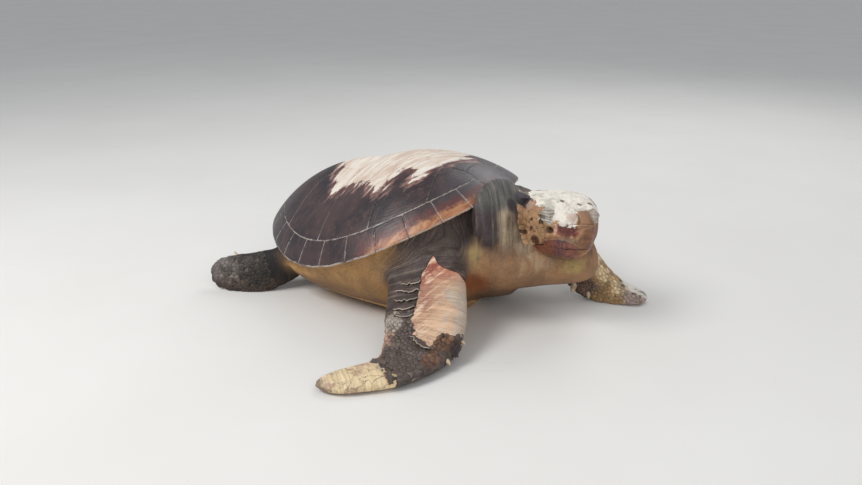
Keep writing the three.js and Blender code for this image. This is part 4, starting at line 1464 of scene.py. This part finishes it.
def horn_piece(node):
    """The beak's or the jaw's horn, fitted to the skull, with the raw hollow in it."""
    horn = copied(node)
    mesh = remesh(horn, HORN_FACE)
    ends = edge_ends(mesh)
    points = relaxed(coords(mesh), ends, 3)
    head = local(points, HEAD)
    fit, middle = skull_fit(head)
    outer = (fit > 0.86) & (head[:, 0] < 0.965 * HEAD_LENGTH)
    depth = np.minimum(horn_zone(head), 6)
    scale = np.where(outer, (1 - 0.01 * np.exp(-np.maximum(depth, 0) / 1.6)) / np.maximum(fit, 0.5), 1)
    head[:, 1] *= scale
    head[:, 2] = middle + (head[:, 2] - middle) * scale
    hollow = patch(head, RED_AT, (27, 29, 21), 0.2 * rough(points, 0.02, 3), high=0.5)
    snag = patch(head, HOLLOW_AT, HOLLOW_REACH, high=0.45)
    middle_line = np.column_stack([np.zeros(len(head)), head[:, 1], head[:, 2] - middle])
    strands = 1.8 * rough(head * MM * (1, 1, 0.3), 0.006, 16) * outer
    walls = fit > 0.5
    head -= unit(middle_line) * (walls * (6 * hollow + 8 * snag) + strands * hollow)[:, None]
    head[:, 0] -= 5 * hollow * walls
    points = relaxed(placed(head, HEAD), ends, 2)
    move(mesh, points)
    head = local(points, HEAD)
    lumps, fine = mottles(points)
    torn = patch(head, RED_AT, (24, 26, 19), 0.3 * fine, high=0.3)
    mark(mesh, hide=face_colour(head, lumps, fine), torn=torn)
    mesh.shade_smooth()
    return dress(horn, "horn", "beak", node)


def eye_piece(node, side):
    """A clouded ball; side is 1 on the animal's left and -1 on its right."""
    bm = bmesh.new()
    bmesh.ops.create_uvsphere(bm, u_segments=48, v_segments=32, radius=1)
    centre = EYE_AT * (1, side, 1)
    facing = unit(np.array([[0.35, side, 0.12]]))[0]
    ball = np.array([v.co for v in bm.verts])
    forward = ball @ facing
    bulge = EYE_RADIUS - 0.6 + 0.9 * smooth(forward, 0.72, 0.95)
    for vert, point in zip(bm.verts, placed(centre + ball * bulge[:, None], HEAD)):
        vert.co = point
    eye = new_piece(f"{node}_ball", bm)
    mark(eye.data, pupil=forward)
    eye.data.shade_smooth()
    return dress(eye, "eye", "eye", node)


CLAW_ROOT = 0.006  # how deep a claw starts in the skin
CLAW_STOUTNESS = 0.55
CLAW_WORN = 0.72  # share of its solid's length that is left
CLAW_FLOOR = 0.0006  # a claw's lowest level


def claw_piece(node, surface):
    """A blunt curved claw at its solid's place, rooted in the skin."""
    solid = np.array([v.co for v in NODES[node].data.vertices])
    depth = np.array([surface.find_nearest(p)[3] for p in solid])
    seat = solid[np.argsort(depth)[: len(solid) // 4 + 1]].mean(axis=0)
    foot = np.array(surface.find_nearest(seat)[0])
    tip = solid[np.argmax(np.linalg.norm(solid - foot, axis=1))]
    way = unit((tip - foot)[None])[0]
    half = (np.linalg.norm(tip - foot) * CLAW_WORN + CLAW_ROOT) / 2
    bm = bmesh.new()
    bmesh.ops.create_uvsphere(bm, u_segments=28, v_segments=24, radius=1)
    turn = Vector((0, 0, 1)).rotation_difference(Vector(way)).to_matrix()
    for vert in bm.verts:
        x, y, z = vert.co
        stout = CLAW_STOUTNESS * half * (1 - 0.35 * z)
        spot = turn @ Vector((x * stout, y * stout, z * half))
        spot += Vector(foot + way * (half - CLAW_ROOT))
        spot.z = max(spot.z, CLAW_FLOOR)
        vert.co = spot
    claw = new_piece(f"{node}_horn", bm)
    claw.data.shade_smooth()
    return dress(claw, "claw", "claw", node)


PLASTRON_TOP = 0.0455
PLASTRON_FLOOR = 0.0002  # its lowest level
PLASTRON_FACE = 0.006
PLASTRON_SEAMS = (-230, -120, 20, 150, 260)  # along the body


def plastron_piece():
    """The belly's plates: the trunk's underside below a level, just outside the skin."""
    bm = bmesh.new()
    loft(bm, 160, 96, trunk, -0.4)
    cut = {"geom": bm.verts[:] + bm.edges[:] + bm.faces[:], "plane_no": (0, 0, 1), "clear_outer": True}
    border = bmesh.ops.bisect_plane(bm, plane_co=(0, 0, PLASTRON_TOP), **cut)["geom_cut"]
    bmesh.ops.holes_fill(bm, edges=[e for e in border if isinstance(e, bmesh.types.BMEdge)])
    bmesh.ops.triangulate(bm, faces=[f for f in bm.faces if len(f.verts) > 4])
    bmesh.ops.recalc_face_normals(bm, faces=bm.faces)
    plastron = new_piece("plastron_plates", bm)
    mesh = remesh(plastron, PLASTRON_FACE)
    points = relaxed(coords(mesh), edge_ends(mesh), 4)
    points[:, 2] = np.maximum(points[:, 2], PLASTRON_FLOOR)
    body = local(points, BODY)
    x, y, _ = body.T
    seams = np.min([np.abs(x - at + 10 * np.sin(y / 60)) for at in PLASTRON_SEAMS], axis=0)
    mark(mesh, edge=np.minimum(seams, np.abs(y + 4 * np.sin(x / 30))))
    move(mesh, points)
    mesh.shade_smooth()
    return dress(plastron, "plastron", "plastron", "plastron")


# ---------------------------------------------------------------- scales
TILES = {
    "front_flipper_right": (0.02, 0.02, 0.6, 0.2),
    "front_flipper_left": (0.02, 0.24, 0.6, 0.2),
    "rear_flipper_right": (0.02, 0.46, 0.38, 0.2),
    "rear_flipper_left": (0.02, 0.68, 0.38, 0.2),
    "head": (0.66, 0.02, 0.32, 0.44),
    "neck": (0.42, 0.48, 0.56, 0.4),
    "tail": (0.02, 0.9, 0.3, 0.08),
    "trunk": (0.34, 0.9, 0.3, 0.08),
    "nape": (0.68, 0.9, 0.3, 0.08),
}
PATCH = 0.0015  # half the width of a scale's patch on the map


def unwrapped(part, t, turn):
    """Places on the unwrap of the skin: each part has its own tile, run along and round."""
    tiles = np.array([TILES[name] for name in PARTS])[part]
    return tiles[:, :2] + np.column_stack([t, (turn / (2 * np.pi)) % 1]) * tiles[:, 2:]


def bake_chart(mesh, places):
    """Stores the vertices' places on the unwrap."""
    corner_of = read(mesh.loops, "vertex_index", 1, int)[:, 0]
    mesh.uv_layers.new(name="OFBake").data.foreach_set("uv", places[corner_of].ravel())


def scale_spacing(points, part, t, turn):
    """Distance between neighbouring scales, in metres, or 0 where there are none."""
    head = local(points, HEAD)
    of_head = on_head(points, part)
    leading = np.cos(turn)
    face = 0.0125 + 0.009 * smooth(head[:, 2], 15, 40)
    blade = 0.0085 + 0.0065 * smooth(leading, 0.55, 0.9) + 0.002 * smooth(t, 0.5, 0.8)
    rear = 0.0105 + 0.004 * smooth(leading, 0.4, 0.9)
    spacing = np.select(
        [
            of_head & (head[:, 0] > 18),
            belongs(part, "front_flipper_right") & (t > 0.41),
            belongs(part, "front_flipper_left") & (t > 0.34),
            belongs(part, "rear_flipper_right", "rear_flipper_left") & (t > 0.3),
        ],
        [face, blade, blade, rear],
        0.0,
    )
    near_eye = np.min([np.linalg.norm(head - EYE_AT * (1, s, 1), axis=1) for s in (-1, 1)], axis=0)
    hollow = np.linalg.norm(head - np.array(HOLLOW_AT), axis=1)
    smooth_side = (head[:, 1] > 0) & (head[:, 0] > 110)
    nape_side = (head[:, 0] < 100) & (head[:, 1] > -72) & (head[:, 2] > 20)
    snout = (head[:, 0] > 183) & (head[:, 2] > 8)
    bare = (near_eye < 27) | (hollow < 17) | (horn_zone(head) > -5) | smooth_side | nape_side | snout
    worn = markings(points)["bare"] > np.where(of_head, -0.27, 0.02)
    return np.where((of_head & bare) | worn, 0, spacing)


CANDIDATES = 80000
BACK_PLATE_SPACING = 0.036
CELL = 0.011  # size of the boxes that roots are sorted into
LOWEST_ROOT = 0.004


def scatter(mesh, seed, wanted):
    """Even random roots over the wanted parts of the skin, each as far from the others as their spacing."""
    mesh.calc_loop_triangles()
    points = coords(mesh)[read(mesh.loop_triangles, "vertices", 3, int)]
    area = np.linalg.norm(np.cross(points[:, 1] - points[:, 0], points[:, 2] - points[:, 0]), axis=1) / 2
    area *= belongs(atlas(points[:, 0])[0], *wanted)
    chance = np.random.default_rng(seed)
    chosen = chance.choice(len(area), CANDIDATES, p=area / area.sum())
    u, v = chance.random((2, len(chosen), 1))
    flip = (u + v) > 1
    u, v = np.where(flip, 1 - u, u), np.where(flip, 1 - v, v)
    tri = points[chosen]
    spots = tri[:, 0] + u * (tri[:, 1] - tri[:, 0]) + v * (tri[:, 2] - tri[:, 0])
    plates = np.argmin([np.linalg.norm(spots - at, axis=1) for at in placed(BACK_PLATES, HEAD)], axis=1)
    first = "head" in wanted
    part, t, turn = atlas(spots)
    spacing = scale_spacing(spots, part, t, turn)
    if first:
        spacing[plates] = BACK_PLATE_SPACING
    spacing = np.where(spots[:, 2] > LOWEST_ROOT, spacing, 0)
    taken = {}
    kept = []
    for i in [*(plates if first else ()), *np.flatnonzero(spacing > 0)]:
        x, y, z = (spots[i] // CELL).astype(int)
        boxes = (taken.get((x + a, y + b, z + c), ()) for a, b, c in product(range(-2, 3), repeat=3))
        others = (j for box in boxes for j in box)
        if any(np.sum((spots[i] - spots[j]) ** 2) < (0.43 * (spacing[i] + spacing[j])) ** 2 for j in others):
            continue
        taken.setdefault((x, y, z), []).append(i)
        kept.append(i)
    return spots[kept], spacing[kept], part[kept], t[kept], turn[kept]


def clipped(polygon, edge_point, direction):
    """The convex polygon's part behind a line: direction points out of it."""
    side = (polygon - edge_point) @ direction
    kept = []
    for i in range(len(polygon)):
        j = (i + 1) % len(polygon)
        if side[i] <= 0:
            kept.append(polygon[i])
        if (side[i] <= 0) != (side[j] <= 0):
            share = side[i] / (side[i] - side[j])
            kept.append(polygon[i] + share * (polygon[j] - polygon[i]))
    return np.array(kept)


CORNERS = 9
NEIGHBOURS = 16
UNCUT = 0.78  # reach of a scale with no neighbours, as a share of its spacing
SCALE_ROOT = 0.0006  # how deep a scale starts in the skin
SCALE_HEIGHT = 0.0009
SCALE_GAP = 0.0005  # half the gap between two scales
SCALE_SLOPE = 0.0011  # breadth of the slope to a scale's raised middle
SLOPE_RISE = 0.0007
PEAK_RISE = 0.0003
CLEARANCE = 0.0004  # how far a scale's middle stands out over its rim at the least


def scale_bases(bm, surface, roots, spacing):
    """Adds a face under the skin for each root, cut to its neighbours' faces; gives the roots' axes."""
    tree = tree_of(roots)
    round_turn = np.linspace(0, 2 * np.pi, CORNERS, False)
    circle = np.column_stack([np.cos(round_turn), np.sin(round_turn)])
    scale_of = bm.faces.layers.int.new("scale")
    frames = []
    for i, root in enumerate(roots):
        _, normal, _, _ = surface.find_nearest(root)
        side = normal.orthogonal().normalized()
        up = normal.cross(side)
        axes = np.array([side, up])
        frames.append(axes)
        outline = circle * spacing[i] * UNCUT
        for _, j, distance in tree.find_n(root, NEIGHBOURS):
            if j == i or distance > 0.9 * (spacing[i] + spacing[j]):
                continue
            way = axes @ (roots[j] - root)
            length = np.linalg.norm(way)
            if length < 1e-6 or len(outline) < 3:
                continue
            share = spacing[i] / (spacing[i] + spacing[j])
            outline = clipped(outline, way * share - way / length * SCALE_GAP, way / length)
        if len(outline) < 3:
            continue
        ring = []
        for corner in outline:
            spot = Vector(root) + side * corner[0] + up * corner[1]
            foot, foot_normal, _, _ = surface.find_nearest(spot)
            ring.append(bm.verts.new(foot - foot_normal * SCALE_ROOT))
        bm.faces.new(ring)[scale_of] = i
    return np.array(frames)


def raise_scales(bm, surface, relief):
    """Turns every face into a closed low dome, whose middle stands out from the skin."""
    bmesh.ops.remove_doubles(bm, verts=bm.verts, dist=1e-5)
    base = bm.faces[:]
    bm.normal_update()
    made = bmesh.ops.extrude_face_region(bm, geom=base, use_keep_orig=True)["geom"]
    tops = [f for f in made if isinstance(f, bmesh.types.BMFace)]
    for face in tops:
        face.normal_update()
        lift = face.normal * SCALE_HEIGHT
        for vert in face.verts:
            vert.co += lift
    bmesh.ops.reverse_faces(bm, faces=base)
    bmesh.ops.inset_individual(bm, faces=tops, thickness=SCALE_SLOPE, depth=SLOPE_RISE * relief)
    for vert in bmesh.ops.poke(bm, faces=tops, offset=PEAK_RISE * relief)["verts"]:
        foot, normal, _, _ = surface.find_nearest(vert.co)
        vert.co += normal * max(SCALE_HEIGHT + CLEARANCE - (vert.co - foot).dot(normal), 0)


def scale_coat(name, skin, seed, wanted, relief):
    """Tiled scales over the skin, as one mesh of separate low domes, each cut to its neighbours."""
    roots, spacing, part, t, turn = scatter(skin.data, seed, wanted)
    surface = surface_of(skin.data)
    bm = bmesh.new()
    frames = scale_bases(bm, surface, roots, spacing)
    raise_scales(bm, surface, relief)
    coat = new_piece(name, bm)
    mesh = coat.data
    points = coords(mesh)
    owner = np.zeros(len(points), int)
    for face, row in zip(mesh.polygons, mesh.attributes["scale"].data):
        owner[list(face.vertices)] = row.value
    mesh.attributes.remove(mesh.attributes["scale"])

    of_head, head = on_head(roots, part), local(roots, HEAD)
    tone = np.random.default_rng(seed + 1).uniform(1 - 0.22 * relief, 1 + 0.25 * relief, len(roots))
    tone = np.where(belongs(part, "rear_flipper_right", "rear_flipper_left"), tone**2.2, tone)
    above = np.array([surface.find_nearest(p)[3] for p in points]) * smooth(points[:, 2], -1, 0)
    face_pale = 0.22 * smooth(-plate_field(head), 0, 0.1) * smooth(-head[:, 1], 20, 60)
    pale = np.where(of_head, face_pale, np.where(belongs(part, "front_flipper_left"), 0.14, 0.06))
    look = {label: values[owner] for label, values in markings(roots).items()}
    look["spot"] = np.where(of_head[owner], cheek_spots(local(points, HEAD)), -1)
    away = points - roots[owner]
    mark(
        mesh,
        **look,
        # each scale darker low down beside the skin and its neighbours: painted shade between the scales,
        # over its own random tone
        tone=tone[owner] * (0.7 + 0.45 * smooth(above, 0.0002, 0.0016)),
        reach=np.linalg.norm(away, axis=1) / spacing[owner] * 2,
        pale=pale[owner] * smooth(-look["spot"], -0.05, 0.2),
    )
    flat = np.einsum("nij,nj->ni", frames[owner], away) / spacing[owner][:, None]
    bake_chart(mesh, unwrapped(part, t, turn)[owner] + np.clip(flat, -1, 1) * PATCH)
    mesh.shade_smooth()
    return coat


# ---------------------------------------------------------------- torn flakes of skin
ACROSS_ARM = (0.87, 0.48, 0.05)
# Middle and way along in the model, length, breadth, how far the free edge stands off, and its colours.
FLAKES = [
    ((0.128, -0.150, 0.166), ACROSS_ARM, 0.050, 0.013, 0.004, "arm", "raw_grey"),
    ((0.127, -0.163, 0.150), ACROSS_ARM, 0.060, 0.014, 0.006, "arm", "raw_grey"),
    ((0.132, -0.178, 0.132), ACROSS_ARM, 0.060, 0.014, 0.006, "arm", "lid"),
    ((0.136, -0.194, 0.114), ACROSS_ARM, 0.056, 0.014, 0.006, "wrist", "raw_grey"),
    ((0.142, -0.208, 0.099), ACROSS_ARM, 0.050, 0.013, 0.005, "wrist", "lid"),
    ((0.222, -0.251, 0.064), (0.85, -0.25, -0.2), 0.062, 0.016, 0.008, "wrist", "raw_grey"),
    ((0.156, -0.352, 0.040), (0.88, -0.2, 0.1), 0.050, 0.016, 0.006, "wrist", "brown"),
    ((0.192, -0.362, 0.042), (0.85, -0.5, 0.0), 0.044, 0.018, 0.007, "arm", "raw_grey"),
    ((0.220, -0.382, 0.034), (0.6, -0.6, -0.4), 0.040, 0.016, 0.006, "wrist", "brown"),
    ((0.287, -0.216, 0.046), (0.5, -0.8, -0.2), 0.034, 0.016, 0.007, "plate", "brown"),
]
FLAKE_STEPS = (14, 5)
FLAKE_FOOT = 0.0007  # how far the fast side lies over the skin
FLAKE_THICKNESS = 0.0014


def torn_flakes(skin):
    """Thin curled flakes on the right flipper, fast along one side and standing off along the other."""
    surface = surface_of(skin.data)
    bm = bmesh.new()
    rows = []
    for middle, way, length, breadth, lift, colour, edge_colour in FLAKES:
        foot, normal, _, _ = surface.find_nearest(Vector(middle))
        along = Vector(way)
        along = (along - normal * along.dot(normal)).normalized()
        down = normal.cross(along)
        down = -down if down.z > 0 else down
        steps, rings = FLAKE_STEPS
        for vert in bmesh.ops.create_grid(bm, x_segments=steps, y_segments=rings, size=0.5)["verts"]:
            u, v = vert.co.x, vert.co.y + 0.5
            ragged_edge = 1 + 0.5 * noise.noise(Vector((u * 7, middle[2] * 90, 0))) - 1.5 * u * u
            spot = foot + along * (u * length) + down * (v * breadth * ragged_edge)
            base, out, _, _ = surface.find_nearest(spot)
            curl = 1 + 0.6 * noise.noise(Vector((u * 5, 3, middle[2] * 70)))
            vert.co = base + out * (FLAKE_FOOT + lift * v * v * curl)
            shade = PALETTE[colour] + (PALETTE[edge_colour] - PALETTE[colour]) * smooth(v, 0.72, 1.0)
            rows.append((*shade, *foot, u, v))
    bmesh.ops.solidify(bm, geom=bm.faces[:], thickness=FLAKE_THICKNESS)
    flakes = new_piece("torn_flakes", bm)
    mesh = flakes.data
    points = coords(mesh)
    tree = tree_of(points[: len(rows)])
    owned = np.array(rows)[[tree.find(p)[1] for p in points]]
    plain = {"bare": -1.0, "spot": -1.0, "wrinkle": 0.5, "tone": 0.95, "reach": 0.0, "pale": 0.0}
    plain = {label: np.full(len(points), value) for label, value in plain.items()}
    mark(mesh, **{**markings(points), **plain, "hide": owned[:, :3]})
    places = unwrapped(*atlas(owned[:, 3:6]))
    bake_chart(mesh, places + (owned[:, 6:] - (0, 0.5)) * 2 * PATCH)
    mesh.shade_smooth()
    return flakes


# ---------------------------------------------------------------- floor, light and camera
LIT_POINT = Vector((0, 0, 0.15))


def studio():
    """The floor, the world, three lamps and the camera."""
    bm = bmesh.new()
    bmesh.ops.create_grid(bm, x_segments=4, y_segments=4, size=60)
    floor = new_piece("floor", bm)
    floor.data.materials.append(material("pale_floor", floor_look))
    world = bpy.data.worlds.new("pale_room")
    world.use_nodes = True
    background = world.node_tree.nodes["Background"]
    background.inputs["Color"].default_value = (0.86, 0.9, 0.95, 1)
    background.inputs["Strength"].default_value = 0.5
    bpy.context.scene.world = world
    for name, at, size, watts in (
        ("key", (-1.6, -2.6, 3.4), 2.0, 124),
        ("fill", (3.0, -1.8, 1.8), 3.0, 26),
        ("back", (0.4, 3.2, 3.2), 2.5, 46),
    ):
        lamp = bpy.data.lights.new(name, "AREA")
        lamp.size = size
        lamp.energy = watts
        placed_lamp = new_object(name, lamp)
        placed_lamp.location = at
        placed_lamp.rotation_euler = (LIT_POINT - Vector(at)).to_track_quat("-Z", "Y").to_euler()
    camera = bpy.data.cameras.new("camera")
    camera.lens = 31.155
    camera.sensor_width = 36
    stand = new_object("camera", camera)
    stand.location = (1.0291, -1.6091, 0.888)
    stand.rotation_euler = [math.radians(a) for a in (70, 0, 30)]
    bpy.context.scene.camera = stand
    bpy.context.scene.view_settings.view_transform = "Standard"


# ---------------------------------------------------------------- assembly
studio()
skin = dress(build_skin(), "hide", "skin", *[name for name in FORMS if name != "nape"])
plastron_piece()
skin_surface = surface_of(skin.data)
for node in sorted(NODES):
    if node.startswith("scute_"):
        shell_plate(node)
    elif node.startswith("claw_"):
        claw_piece(node, skin_surface)
horn_piece("beak_upper")
horn_piece("jaw_lower")
eye_piece("eye_left", 1)
eye_piece("eye_right", -1)
flippers = [name for name in PARTS if "flipper" in name]
dress(scale_coat("flipper_scales", skin, 21, flippers, 1.0), "scales", "skin")
dress(torn_flakes(skin), "scales", "skin")
dress(scale_coat("head_scales", skin, 22, ("head", "neck", "nape"), 0.5), "scales", "head")
